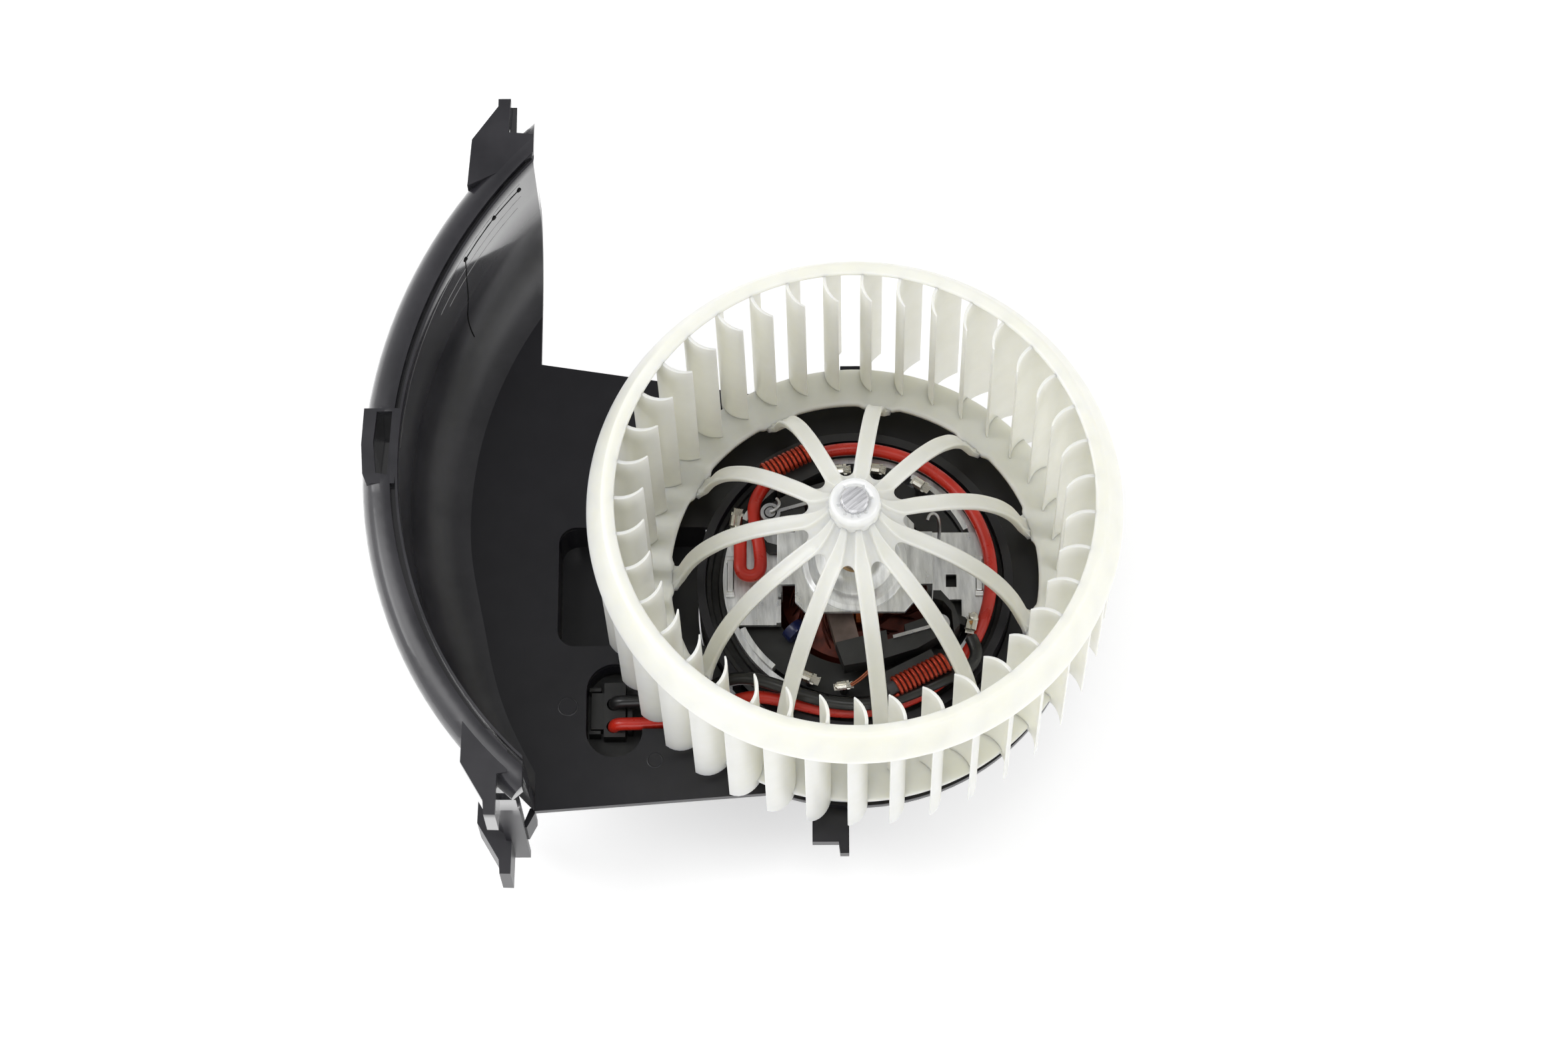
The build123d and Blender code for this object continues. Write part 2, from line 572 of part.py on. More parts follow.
def wall_section(angle):
    """Closed section of the wall in the half plane at that angle."""
    r = scroll(angle)
    corner = wall_fillet(angle)
    a = r - WALL_DRAFT - corner
    base = PLATE_TOP
    knee = base + corner
    outer = corner + PLATE_THICK
    bow = sqrt(0.5)
    edge = r + FLANGE_WIDTH
    inside = ThreePointArc((a, 0, base), (a + corner * bow, 0, knee - corner * bow), (a + corner, 0, knee))
    groove = Polyline((a + corner, 0, knee), (r - 2.2, 0, LIP_TOP), (r - 1.5, 0, LIP_TOP),
                      (r - 1.5, 0, LIP_TOP - 2.5), (r, 0, LIP_TOP - 2.5), (r, 0, LIP_TOP))
    crown = ThreePointArc((r, 0, LIP_TOP), (r + 0.62 * FLANGE_WIDTH, 0, LIP_TOP - 0.9),
                          (edge, 0, LIP_TOP - 4.6))
    outside = Polyline((edge, 0, LIP_TOP - 4.6), (edge - 0.2, 0, LIP_TOP - 6.4), (r + 1.2, 0, LIP_TOP - 5.4),
                       (a + outer, 0, knee))
    below = ThreePointArc((a + outer, 0, knee), (a + outer * bow, 0, knee - outer * bow),
                          (a, 0, knee - outer))
    foot = Line((a, 0, knee - outer), (a, 0, base))
    return Rot(0, 0, angle) * make_face([inside, groove, crown, outside, below, foot])


def wall():
    sections = 12
    step = (SCROLL_END - SCROLL_START) / (sections - 1)
    skin = loft([wall_section(SCROLL_START + step * k) for k in range(sections)])
    upper_cut = block(WALL_CUT_X, 50, 0, 250, 0, 200)
    lower_cut = block(WALL_END_X, 50, -250, -50, 0, 200)
    return skin - upper_cut - lower_cut


def plate():
    """Flat floor: a round end about the wheel, and a straight part out to the scroll wall."""
    steps = 24
    first = 134.0
    last = 214.0
    rim = []
    for k in range(steps + 1):
        angle = first + (last - first) * k / steps
        rim.append(polar(scroll(angle) - WALL_DRAFT - wall_fillet(angle) + 0.6, angle))
    rim[0] = (WALL_CUT_X, rim[0][1])
    rim[-1] = (WALL_END_X, -67.2)
    outline = [(WALL_CUT_X, 72.2), (-24.0, 61.2), (0.0, 50.0), (-24.0, -62.0)] + rim[::-1]
    plate = prism(outline, PLATE_TOP - PLATE_THICK, PLATE_TOP)
    return plate + disc(ROUND_END, PLATE_TOP - PLATE_THICK, PLATE_TOP)


def upper_tab():
    """Tab with a hook, beyond the upper end of the joint flange."""
    outline = [(-112.4, 108.0), (-111.4, 122.9), (-103.9, 133.6), (-103.9, 136.0), (-100.2, 136.0),
               (-100.8, 125.2), (-93.6, 124.6), (-93.6, 117.2)]
    hook = block(-100.6, -98.6, 122, 135, LIP_TOP - 14, LIP_TOP - 4)
    return prism(outline, LIP_TOP - 5.0, LIP_TOP - 0.2) + hook


def end_lugs():
    """Two deep lugs with one outline, one above the other, and the end flange that joins them."""
    outline = [(-109.6, -56.0), (-109.9, -67.9), (-103.4, -79.0), (-103.1, -83.2), (-99.9, -83.3),
               (-99.7, -71.3), (-96.8, -71.0), (-96.8, -64.6), (-102.0, -58.6)]
    upper = prism(outline, LIP_TOP - LUG_DEPTH, LUG_TOP)
    lower = prism(outline, LOWER_LUG_TOP - LUG_DEPTH, LOWER_LUG_TOP)
    web = block(-101.4, -95.4, -73.2, -71.2, END_FLANGE_FOOT, LIP_TOP - 4)
    step = block(-101.4, -95.4, -74.2, -73.0, LIP_TOP - 26, LIP_TOP - 16)
    tie_outline = [(-103.6, -70.0), (-99.8, -72.6), (-95.8, -72.0), (-95.8, -68.0), (-99.6, -64.0)]
    tie = prism(tie_outline, 30.0, LIP_TOP - 4)
    skirt_outline = [(-96.2, -71.6), (-94.8, -71.8), (-92.6, -67.6), (-92.6, -66.0), (-94.0, -66.0)]
    skirt = prism(skirt_outline, 27.0, PLATE_TOP - 1)
    skirt -= Pos(-88.0, -64.0, 22.0) * Rot(0, 0, 55) * Rot(0, 90, 0) * Cylinder(12.0, 24.0)
    return [upper, lower, web, step, tie, skirt]


def clip_pocket():
    """Box on the outside of the joint flange, for a spring clip."""
    outline = [(-130.8, 15.0), (-138.8, 15.0), (-140.0, 18.0), (-140.6, 27.0), (-140.1, 38.0), (-129.8, 38.0)]
    return prism(outline, LIP_TOP - CLIP_DEPTH, LIP_TOP)


def stadium(long, wide, z0, z1):
    """Column with the socket's outline."""
    sx, sy = SOCKET_CENTRE
    return Pos(sx, sy, z0) * extrude(SlotOverall(long, wide, rotation=90), z1 - z0)


def socket_shroud():
    """Wall round the socket, behind the plate, with a gate for the leads."""
    outer = stadium(SOCKET_LONG + 4, SOCKET_WIDE + 4, SHROUD_END, FLANGE_TOP)
    inner = stadium(SOCKET_LONG, SOCKET_WIDE, SHROUD_END - 1, FLANGE_TOP + 1)
    return outer - inner - block(-68, -56, -42.4, -29.6, TROUGH_FLOOR, FLANGE_TOP + 1)


def screw_boss():
    bx, by = BOSS_CENTRE
    return disc(BOSS_PILOT + 2.7, SHROUD_END + 3, PLATE_TOP - 1, bx, by)


def channel_hollow():
    x0, x1, y0, y1 = CHANNEL
    hollow = block(x0, x1 + 12, y0, y1, CHANNEL_FLOOR, PLATE_TOP + 1)
    return fillet(hollow.edges().filter_by(Axis.Z).group_by(Axis.X)[0], 5)


def channel_shell():
    """Trough behind the plate that brings cooling air to the motor."""
    x0, x1, y0, y1 = CHANNEL
    shell = block(x0 - 2, x1, y0 - 2, y1 + 2, CHANNEL_FLOOR - 2, FLANGE_TOP)
    shell = fillet(shell.edges().filter_by(Axis.Z).group_by(Axis.X)[0], 6)
    return shell - channel_hollow() - disc(CUP_RADIUS + 0.4, 0, 80)


def lead_trough():
    """Shallow trough behind the plate, from the motor cup to the socket."""
    trough = block(-66, -40, -44.4, -27.6, TROUGH_FLOOR - 2, FLANGE_TOP)
    trough -= block(-68, -30, -42.4, -29.6, TROUGH_FLOOR, FLANGE_TOP + 1)
    trough -= stadium(SOCKET_LONG + 4, SOCKET_WIDE + 4, TROUGH_FLOOR - 3, FLANGE_TOP + 1)
    return trough - disc(CUP_RADIUS + 0.4, 0, 80)


def housing_plate():
    """The flat plate with all its openings, and the boss for the screw."""
    bx, by = BOSS_CENTRE
    floor = plate() + screw_boss() - channel_hollow()
    floor -= block(-68, -30, -42.4, -29.6, TROUGH_FLOOR, PLATE_TOP + 1)
    floor -= stadium(SOCKET_LONG, SOCKET_WIDE, SHROUD_END, PLATE_TOP + 5)
    floor -= disc(BOSS_PILOT, SHROUD_END + 2, SHROUD_END + 18, bx, by)
    floor -= disc(CUP_RADIUS + 0.4, 0, 80)
    for angle in SCREW_ANGLES:
        x, y = polar(SCREW_CIRCLE, angle)
        floor -= disc(SCREW_SHANK, FLANGE_TOP - 1, FLANGE_TOP + SCREW_BITE, x, y)
    return floor


def scroll_wall():
    """The curved wall with its joint flange, tab, clip pocket and lugs."""
    skin = wall().fuse(clip_pocket(), upper_tab(), *end_lugs())
    pocket = [(-133.0, 17.6), (-136.2, 18.2), (-137.2, 27.6), (-136.4, 37.0), (-132.0, 37.0)]
    skin -= prism(pocket, LIP_TOP - CLIP_DEPTH + 3, LIP_TOP + 1)
    skin -= plate()
    return max(skin.solids(), key=lambda piece: piece.volume)


def motor_cup():
    """Rear cover with the flange that is screwed to the plate from behind."""
    cup = disc(CUP_RADIUS, 0, CUP_TOP) - disc(CUP_RADIUS - CUP_WALL, CUP_WALL, CUP_TOP + 1)
    cup = fillet(cup.edges().filter_by(GeomType.CIRCLE).group_by(Axis.Z)[0], 3)
    flange = ring(FLANGE_RADIUS, CUP_RADIUS - 0.5, FLANGE_TOP - FLANGE_THICK, FLANGE_TOP)
    x0, x1, y0, y1 = CHANNEL
    flange -= block(-70, -30, y0 - 2.6, y1 + 2.6, 20, 60)
    flange -= block(-70, -30, -45.2, -26.8, 20, 60)
    cup += flange
    cup += block(-4.0, 2.0, 54, 72.2, FLANGE_TOP - FLANGE_THICK, FLANGE_TOP)
    tab = [(-12.6, -52.0), (-12.6, -76.0), (-5.0, -76.0), (-4.6, -79.4), (-2.0, -79.4), (-2.0, -52.0)]
    cup += prism(tab, FLANGE_TOP - 3.4, FLANGE_TOP)
    # cooling opening towards the air channel, and the notch for the leads
    cup -= block(-60, -38, -14, 17, CHANNEL_FLOOR + 2, 43.5)
    reach = 80.0
    lead_gate = [(0, 0), polar(reach, 207), polar(reach, 247)]
    cup -= prism(lead_gate, 52.4, CUP_TOP + 1) - disc(CUP_RADIUS - CUP_WALL, 40, 60)
    lower_gate = [(-28, -28), (-60, -28), (-60, -42), (-28, -42)]
    cup -= prism(lower_gate, TROUGH_FLOOR, CUP_TOP) - disc(CUP_RADIUS - CUP_WALL, 40, 60)
    for angle in SCREW_ANGLES:
        x, y = polar(SCREW_CIRCLE, angle)
        cup -= disc(2.1, 30, 60, x, y)
    return cup


def flange_screws():
    """Three pan-head screws that hold the cup's flange to the plate."""
    found = []
    for angle in SCREW_ANGLES:
        x, y = polar(SCREW_CIRCLE, angle)
        z = FLANGE_TOP - FLANGE_THICK
        found.append(disc(SCREW_HEAD, z - 2.4, z, x, y) + disc(SCREW_SHANK, z, FLANGE_TOP + SCREW_BITE, x, y))
    return found


def decoupling_ring():
    """Rubber ring between the can and the cup."""
    soft = ring(CUP_RADIUS - CUP_WALL, CAN_RADIUS, 45.0, 52.4)
    return soft - ring(CUP_RADIUS - CUP_WALL - 1.6, CAN_RADIUS + 1.4, 50.6, 53)


def rear_pads():
    """Rubber feet under the can."""
    found = []
    for angle in (30, 150, 270):
        x, y = polar(27, angle)
        found.append(disc(5.0, CUP_WALL, CAN_BASE, x, y))
    return found


def connector_insert():
    """Contact carrier: a floor across the socket, a block with wells for the leads, and its clips."""
    sx, sy = SOCKET_CENTRE
    body = stadium(SOCKET_LONG, SOCKET_WIDE, INSERT_FLOOR, INSERT_FLOOR + 2.0)
    body += block(sx - 3.3, sx + 3.0, sy - 6.6, sy + 10.0, INSERT_FLOOR + 1, INSERT_TOP)
    body += block(sx - 7.0, sx - 3.2, sy - 4.0, sy + 7.1, INSERT_FLOOR + 1, INSERT_TOP - 0.8)
    body += block(sx + 3.6, sx + 5.0, sy - 4.8, sy + 2.2, INSERT_FLOOR + 1, INSERT_TOP - 0.4)
    for y in (sy - 5.2, sy + 7.9):
        body += block(sx - 7.6, sx - 4.2, y - 0.5, y + 0.5, INSERT_FLOOR + 1, INSERT_TOP)
    for side in (-BLADE_OFFSET, BLADE_OFFSET):
        body -= block(sx - 2.5, sx + 2.5, sy + side - 0.4, sy + side + 0.4, INSERT_FLOOR - 1, INSERT_TOP)
        body -= disc(LEAD_DIAMETER / 2 + 0.05, LEAD_END, INSERT_TOP + 1, sx - 0.5, sy + side)
    return body


def contact_blades():
    """Two flat blades that reach down from the leads' ends into the plug's mouth."""
    sx, sy = SOCKET_CENTRE
    found = []
    for side in (-BLADE_OFFSET, BLADE_OFFSET):
        found.append(block(sx - 2.5, sx + 2.5, sy + side - 0.4, sy + side + 0.4, 28.0, LEAD_END))
    return found


# ---------------------------------------------------------------- write the parts
def write(name, shape):
    """One STEP file per sub-part; a list of solids becomes one group."""
    if isinstance(shape, (list, tuple)):
        solids = [s for item in shape for s in item.solids()]
        shape = Compound(children=solids)
    export_step(shape, "parts/" + name + ".step")


os.makedirs("parts", exist_ok=True)
write("scroll_housing", housing_plate())
write("scroll_wall", scroll_wall())
write("channel_shell", channel_shell())
write("lead_trough", lead_trough())
write("motor_cup", motor_cup())
write("flange_screws", flange_screws())
write("decoupling_ring", decoupling_ring())
write("rear_pads", rear_pads())
write("motor_can", motor_can())
write("rim_tabs", rim_tabs())
write("magnet_left", magnet(180))
write("magnet_right", magnet(0))
write("magnet_springs", magnet_springs())
write("rear_bearing", rear_bearing())
write("end_bracket", end_bracket())
write("front_bearing", front_bearing())
write("bearing_clamp", bearing_clamp())
write("brush_card", brush_card())
write("pivot_pins", pivot_pins())
for number, turn in ((1, 0), (2, 180)):
    write(f"brush_arm_{number}", brush_arm(turn))
    write(f"carbon_brush_{number}", carbon_brush(turn))
    write(f"arm_spring_{number}", arm_spring(turn))
    write(f"choke_coil_{number}", choke_coil(turn))
    write(f"choke_core_{number}", choke_core(turn))
write("crimp_terminals", crimps())
write("capacitor", capacitor())
write("red_lead", tube(RED_ROUTE, LEAD_DIAMETER, "red lead"))
write("black_lead", tube(BLACK_ROUTE, LEAD_DIAMETER, "black lead"))
write("connector_insert", connector_insert())
write("contact_blades", contact_blades())
write("motor_shaft", motor_shaft())
write("armature_core", armature_core())
write("armature_windings", armature_windings())
write("commutator", commutator())
write("thrust_washers", thrust_washers())
front_rim = wheel_rim()
rear_ring = wheel_back_ring()
write("wheel_rim", front_rim)
write("wheel_back_ring", rear_ring)
write("wheel_spider", spider() - rear_ring)
write("wheel_blades", wheel_blades(front_rim, rear_ring))
write("socket_shroud", socket_shroud())
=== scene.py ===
"""Heater blower: a milky plastic wheel on its motor, in the motor half of a scroll housing."""
import bpy
import bmesh
import json
from math import asin, cos, degrees, pi, radians, sin
from random import Random
from mathutils import Matrix, Vector


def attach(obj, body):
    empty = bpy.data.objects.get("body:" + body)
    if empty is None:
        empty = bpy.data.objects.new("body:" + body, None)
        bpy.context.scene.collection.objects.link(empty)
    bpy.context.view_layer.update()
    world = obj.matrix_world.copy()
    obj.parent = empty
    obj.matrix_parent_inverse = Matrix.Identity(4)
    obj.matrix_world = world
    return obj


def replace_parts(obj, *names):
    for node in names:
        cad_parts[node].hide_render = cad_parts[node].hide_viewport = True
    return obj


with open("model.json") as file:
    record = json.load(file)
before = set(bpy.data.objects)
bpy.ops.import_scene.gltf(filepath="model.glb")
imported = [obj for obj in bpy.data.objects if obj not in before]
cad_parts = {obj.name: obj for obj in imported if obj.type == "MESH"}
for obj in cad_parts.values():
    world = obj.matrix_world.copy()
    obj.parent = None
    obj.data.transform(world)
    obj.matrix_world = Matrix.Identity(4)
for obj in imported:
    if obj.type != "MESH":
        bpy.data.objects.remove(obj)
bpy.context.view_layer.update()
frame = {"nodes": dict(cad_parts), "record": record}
MM = 0.001

# ---------------------------------------------------------------- node helpers
def new_material(name):
    """A node material with its Principled shader."""
    made = bpy.data.materials.new(name)
    made.use_nodes = True
    return made, made.node_tree, made.node_tree.nodes["Principled BSDF"]


def texture_space(tree):
    """The object's own coordinates."""
    return tree.nodes.new("ShaderNodeTexCoord").outputs["Object"]


def noise(tree, scale, detail=3.0, rough=0.55, stretch=None, turn=0.0):
    """Noise in the object's own space; scale is in features per metre, and it can be drawn out."""
    source = texture_space(tree)
    if stretch is not None:
        mapping = tree.nodes.new("ShaderNodeMapping")
        mapping.vector_type = "TEXTURE"
        mapping.inputs["Rotation"].default_value = (0, 0, radians(turn))
        mapping.inputs["Scale"].default_value = stretch
        tree.links.new(source, mapping.inputs["Vector"])
        source = mapping.outputs["Vector"]
    node = tree.nodes.new("ShaderNodeTexNoise")
    node.inputs["Scale"].default_value = scale
    node.inputs["Detail"].default_value = detail
    node.inputs["Roughness"].default_value = rough
    tree.links.new(source, node.inputs["Vector"])
    return node.outputs["Fac"]


def ramp(tree, fac, *stops):
    """Colour ramp; each stop is (position, colour)."""
    node = tree.nodes.new("ShaderNodeValToRGB")
    elements = node.color_ramp.elements
    while len(elements) < len(stops):
        elements.new(0.5)
    for element, (position, colour) in zip(elements, stops):
        element.position = position
        element.color = (*colour, 1)
    tree.links.new(fac, node.inputs["Fac"])
    return node.outputs["Color"]


def spread(tree, fac, low, high):
    """Maps noise, which stays mostly between 0.3 and 0.7, to a range of values."""
    node = tree.nodes.new("ShaderNodeMapRange")
    node.inputs["From Min"].default_value = 0.3
    node.inputs["From Max"].default_value = 0.7
    node.inputs["To Min"].default_value = low
    node.inputs["To Max"].default_value = high
    tree.links.new(fac, node.inputs["Value"])
    return node.outputs["Result"]


def bump(tree, shader, height, strength, distance):
    """Fine relief on top of the modelled shape."""
    node = tree.nodes.new("ShaderNodeBump")
    node.inputs["Strength"].default_value = strength
    node.inputs["Distance"].default_value = distance
    tree.links.new(height, node.inputs["Height"])
    tree.links.new(node.outputs["Normal"], shader.inputs["Normal"])


def plain(name, colour_low, colour_high, rough, metallic=0.0, grain=900.0, strength=0.15, depth=0.00005,
          **sockets):
    """A finish with mottled colour, uneven gloss and fine grain."""
    made, tree, shader = new_material(name)
    cloud = noise(tree, grain * 0.12, 4.0)
    tree.links.new(ramp(tree, cloud, (0.35, colour_low), (0.65, colour_high)), shader.inputs["Base Color"])
    tree.links.new(spread(tree, noise(tree, grain * 0.3), rough[0], rough[1]), shader.inputs["Roughness"])
    shader.inputs["Metallic"].default_value = metallic
    bump(tree, shader, noise(tree, grain, 5.0), strength, depth)
    for socket, value in sockets.items():
        shader.inputs[socket.replace("_", " ")].default_value = value
    return made


def ground_steel(name, colour_low, colour_high):
    """Steel whose cut end shows the slanting scratches of the grinding wheel."""
    made, tree, shader = new_material(name)
    scratches = noise(tree, 1400, 4.0, 0.6, (12.0, 1.0, 1.0), 38.0)
    tone = ramp(tree, scratches, (0.35, colour_low), (0.62, colour_high))
    tree.links.new(tone, shader.inputs["Base Color"])
    tree.links.new(spread(tree, scratches, 0.3, 0.5), shader.inputs["Roughness"])
    shader.inputs["Metallic"].default_value = 0.7
    bump(tree, shader, scratches, 0.5, 0.00006)
    return made


def galvanised(name, colour_low, colour_high):
    """Zinc-coated sheet: patchy, with the streaks of rolling."""
    made, tree, shader = new_material(name)
    streaks = noise(tree, 420, 5.0, 0.65, (1.0, 7.0, 2.0), 4.0)
    tree.links.new(ramp(tree, streaks, (0.34, colour_low), (0.64, colour_high)), shader.inputs["Base Color"])
    tree.links.new(spread(tree, noise(tree, 160), 0.26, 0.48), shader.inputs["Roughness"])
    shader.inputs["Metallic"].default_value = 0.85
    bump(tree, shader, streaks, 0.08, 0.00006)
    return made


def moulded_wall(name, colour_low, colour_high):
    """Black plastic, polished on the upper part of the wall and duller towards its foot."""
    made = plain(name, colour_low, colour_high, (0.08, 0.14), grain=420, strength=0.03,
                 Specular_IOR_Level=0.6, Coat_IOR=2.1, Coat_Roughness=0.06)
    tree = made.node_tree
    split = tree.nodes.new("ShaderNodeSeparateXYZ")
    tree.links.new(texture_space(tree), split.inputs["Vector"])
    height = tree.nodes.new("ShaderNodeMath")
    height.operation = "MULTIPLY"
    height.inputs[1].default_value = 10.0
    tree.links.new(split.outputs["Z"], height.inputs[0])
    polish = ramp(tree, height.outputs["Value"], (0.62, (0, 0, 0)), (0.78, (1, 1, 1)), (0.93, (1, 1, 1)),
                  (0.965, (0, 0, 0)))
    tree.links.new(polish, tree.nodes["Principled BSDF"].inputs["Coat Weight"])
    dull = tree.nodes.new("ShaderNodeMapRange")
    dull.inputs["To Min"].default_value = 0.36
    dull.inputs["To Max"].default_value = 0.10
    tree.links.new(polish, dull.inputs["Value"])
    tree.links.new(dull.outputs["Result"], tree.nodes["Principled BSDF"].inputs["Roughness"])
    return made


MATERIALS = {
    "wheel_plastic": plain("wheel_plastic", (0.85, 0.845, 0.74), (0.89, 0.885, 0.79), (0.28, 0.4), grain=500,
                           strength=0.05, Subsurface_Weight=1.0, Subsurface_Scale=0.005,
                           Subsurface_Radius=(1.0, 0.95, 0.78), Specular_IOR_Level=0.45),
    "hub_plastic": plain("hub_plastic", (0.84, 0.85, 0.84), (0.90, 0.91, 0.90), (0.12, 0.22), grain=900,
                         Subsurface_Weight=0.6, Subsurface_Scale=0.003, Subsurface_Radius=(1.0, 0.98, 0.9),
                         Coat_Weight=0.6, Coat_Roughness=0.1),
    "housing_plastic": plain("housing_plastic", (0.0105, 0.010, 0.013), (0.0125, 0.012, 0.0155), (0.28, 0.31),
                             grain=600, strength=0.01, Specular_IOR_Level=0.42),
    # the wall is the plate's plastic, but paler: its mottle is partly random tone and partly a painted sheen
    # on the lug and flange
    "housing_gloss": moulded_wall("housing_gloss", (0.013, 0.0125, 0.016), (0.029, 0.028, 0.033)),
    "mark_black": plain("mark_black", (0.002, 0.002, 0.002), (0.004, 0.004, 0.004), (0.6, 0.8),
                        Specular_IOR_Level=0.1),
    "flux": plain("flux", (0.55, 0.20, 0.02), (0.72, 0.34, 0.05), (0.08, 0.18), grain=1500,
                  Transmission_Weight=0.35),
    "bare_copper": plain("bare_copper", (0.26, 0.08, 0.04), (0.38, 0.13, 0.07), (0.3, 0.45), 0.8),
    "card_plastic": plain("card_plastic", (0.012, 0.012, 0.012), (0.018, 0.018, 0.018), (0.45, 0.6)),
    "zinc_steel": galvanised("zinc_steel", (0.54, 0.55, 0.56), (0.84, 0.85, 0.86)),
    "rubber": plain("rubber", (0.012, 0.012, 0.012), (0.02, 0.02, 0.02), (0.6, 0.8)),
    # darker copy of the enamelled copper: painted shade for the armature's windings and wires, which sit in
    # shadow
    "shaded_wound_copper": plain("shaded_wound_copper", (0.07, 0.012, 0.006), (0.14, 0.022, 0.010), (0.3, 0.45), 0.5,
                          grain=2500),
    "ferrite": plain("ferrite", (0.03, 0.03, 0.033), (0.05, 0.05, 0.055), (0.5, 0.7)),
    "spring_steel": plain("spring_steel", (0.4, 0.4, 0.41), (0.55, 0.55, 0.56), (0.25, 0.4), 1.0),
    "bronze": plain("bronze", (0.45, 0.30, 0.15), (0.55, 0.38, 0.2), (0.4, 0.55), 1.0),
    "carbon": plain("carbon", (0.10, 0.075, 0.065), (0.2, 0.14, 0.12), (0.4, 0.6), 0.4),
    "enamelled_copper": plain("enamelled_copper", (0.36, 0.032, 0.014), (0.48, 0.055, 0.022), (0.22, 0.3),
                              0.6, strength=0.03),
    "tinned_brass": plain("tinned_brass", (0.6, 0.58, 0.52), (0.75, 0.73, 0.67), (0.2, 0.4), 1.0),
    "blue_lacquer": plain("blue_lacquer", (0.01, 0.015, 0.06), (0.015, 0.02, 0.08), (0.15, 0.3)),
    "red_insulation": plain("red_insulation", (0.52, 0.02, 0.01), (0.62, 0.03, 0.015), (0.25, 0.38)),
    "black_insulation": plain("black_insulation", (0.012, 0.012, 0.012), (0.02, 0.02, 0.02), (0.25, 0.4)),
    "shaft_steel": ground_steel("shaft_steel", (0.44, 0.44, 0.46), (0.80, 0.80, 0.82)),
    "lamination_steel": plain("lamination_steel", (0.25, 0.25, 0.26), (0.35, 0.35, 0.36), (0.35, 0.5), 1.0),
    "commutator_copper": plain("commutator_copper", (0.6, 0.28, 0.14), (0.72, 0.36, 0.2), (0.2, 0.35), 1.0),
    "nylon": plain("nylon", (0.7, 0.68, 0.6), (0.78, 0.76, 0.68), (0.4, 0.5)),
}


# CAD nodes whose finish isn't plainly their slot's; the armature's windings get a darker copy of the copper
# as painted shade
FINISH = {"scroll_wall": "housing_gloss", "armature_windings": "shaded_wound_copper"}


def carried_over():
    """Gives every CAD node the material of its slot in the record."""
    for entry in frame["record"]["subparts"]:
        thing = frame["nodes"][entry["node"]]
        thing.data.materials.clear()
        thing.data.materials.append(MATERIALS[FINISH.get(entry["node"], entry["material_slot"])])


EDGE_RADII = {
    "scroll_housing": 0.4, "scroll_wall": 0.5, "channel_shell": 0.4, "lead_trough": 0.3, "socket_shroud": 0.4,
    "motor_cup": 0.5, "end_bracket": 0.3, "motor_can": 0.4, "brush_card": 0.25,
    "brush_arm_1": 0.4, "brush_arm_2": 0.4, "carbon_brush_1": 0.25, "carbon_brush_2": 0.25, "rim_tabs": 0.3,
    "connector_insert": 0.3, "contact_blades": 0.15, "flange_screws": 0.4, "capacitor": 0.8,
    "decoupling_ring": 0.4, "rear_pads": 0.4, "motor_shaft": 0.15,
}


def soften(node, radius):
    """Rounds the sharp edges of a CAD node."""
    thing = frame["nodes"][node]
    weld = thing.modifiers.new("weld", "WELD")
    weld.merge_threshold = 0.002 * MM
    bevel = thing.modifiers.new("bevel", "BEVEL")
    bevel.width = radius * MM
    bevel.segments = 3
    bevel.limit_method = "ANGLE"
    bevel.angle_limit = radians(32)
    bevel.harden_normals = False
    bevel.use_clamp_overlap = True


def link_piece(made, finish, body):
    """Links a piece, gives it a finish, and lets it ride on its body."""
    made.data.materials.append(MATERIALS[finish])
    bpy.context.scene.collection.objects.link(made)
    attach(made, body)
    return made


def solid_piece(name, verts, faces, slot, body, sharp=38):
    """A mesh piece; its points are in millimetres."""
    mesh = bpy.data.meshes.new(name)
    mesh.from_pydata([Vector(v) * MM for v in verts], [], faces)
    work = bmesh.new()
    work.from_mesh(mesh)
    bmesh.ops.remove_doubles(work, verts=work.verts, dist=0.003 * MM)
    bmesh.ops.recalc_face_normals(work, faces=work.faces)
    for face in work.faces:
        face.smooth = True
    for edge in work.edges:
        if len(edge.link_faces) == 2:
            edge.smooth = edge.calc_face_angle() < radians(sharp)
    work.to_mesh(mesh)
    work.free()
    return link_piece(bpy.data.objects.new(name, mesh), slot, body)


def rounded(points, radius, steps=4):
    """Closed polygon with its corners rounded."""
    out = []
    count = len(points)
    for k in range(count):
        before, here, after = (Vector(points[(k + d) % count]) for d in (-1, 0, 1))
        a, b = before - here, after - here
        reach = min(radius, a.length * 0.45, b.length * 0.45)
        start, end = here + a.normalized() * reach, here + b.normalized() * reach
        for s in range(steps + 1):
            t = s / steps
            out.append(tuple(start * (1 - t) ** 2 + here * 2 * t * (1 - t) + end * t ** 2))
    return out


def lathe(profile, segments):
    """Turns a closed (r, z) section about the axis; the section may depend on the angle."""
    verts, faces = [], []
    for k in range(segments):
        angle = 2 * pi * k / segments
        section = profile(angle) if callable(profile) else profile
        count = len(section)
        verts += [(r * cos(angle), r * sin(angle), z) for r, z in section]
    for k in range(segments):
        for i in range(count):
            j = (i + 1) % count
            n = (k + 1) % segments
            faces.append((k * count + i, k * count + j, n * count + j, n * count + i))
    return verts, faces


def wire(name, routes, radius, slot, body, smooth=True, detail=4):
    """Round wires along routes in millimetres; smooth ones are NURBS splines."""
    curve = bpy.data.curves.new(name, "CURVE")
    curve.dimensions = "3D"
    curve.bevel_depth = radius * MM
    curve.bevel_resolution = detail
    curve.use_fill_caps = True
    for route in routes:
        spline = curve.splines.new("NURBS" if smooth else "POLY")
        spline.points.add(len(route) - 1)
        for point, place in zip(spline.points, route):
            point.co = (*(Vector(place) * MM), 1)
        if smooth:
            spline.order_u = 3
            spline.use_endpoint_u = True
            spline.resolution_u = 10
    return link_piece(bpy.data.objects.new(name, curve), slot, body)


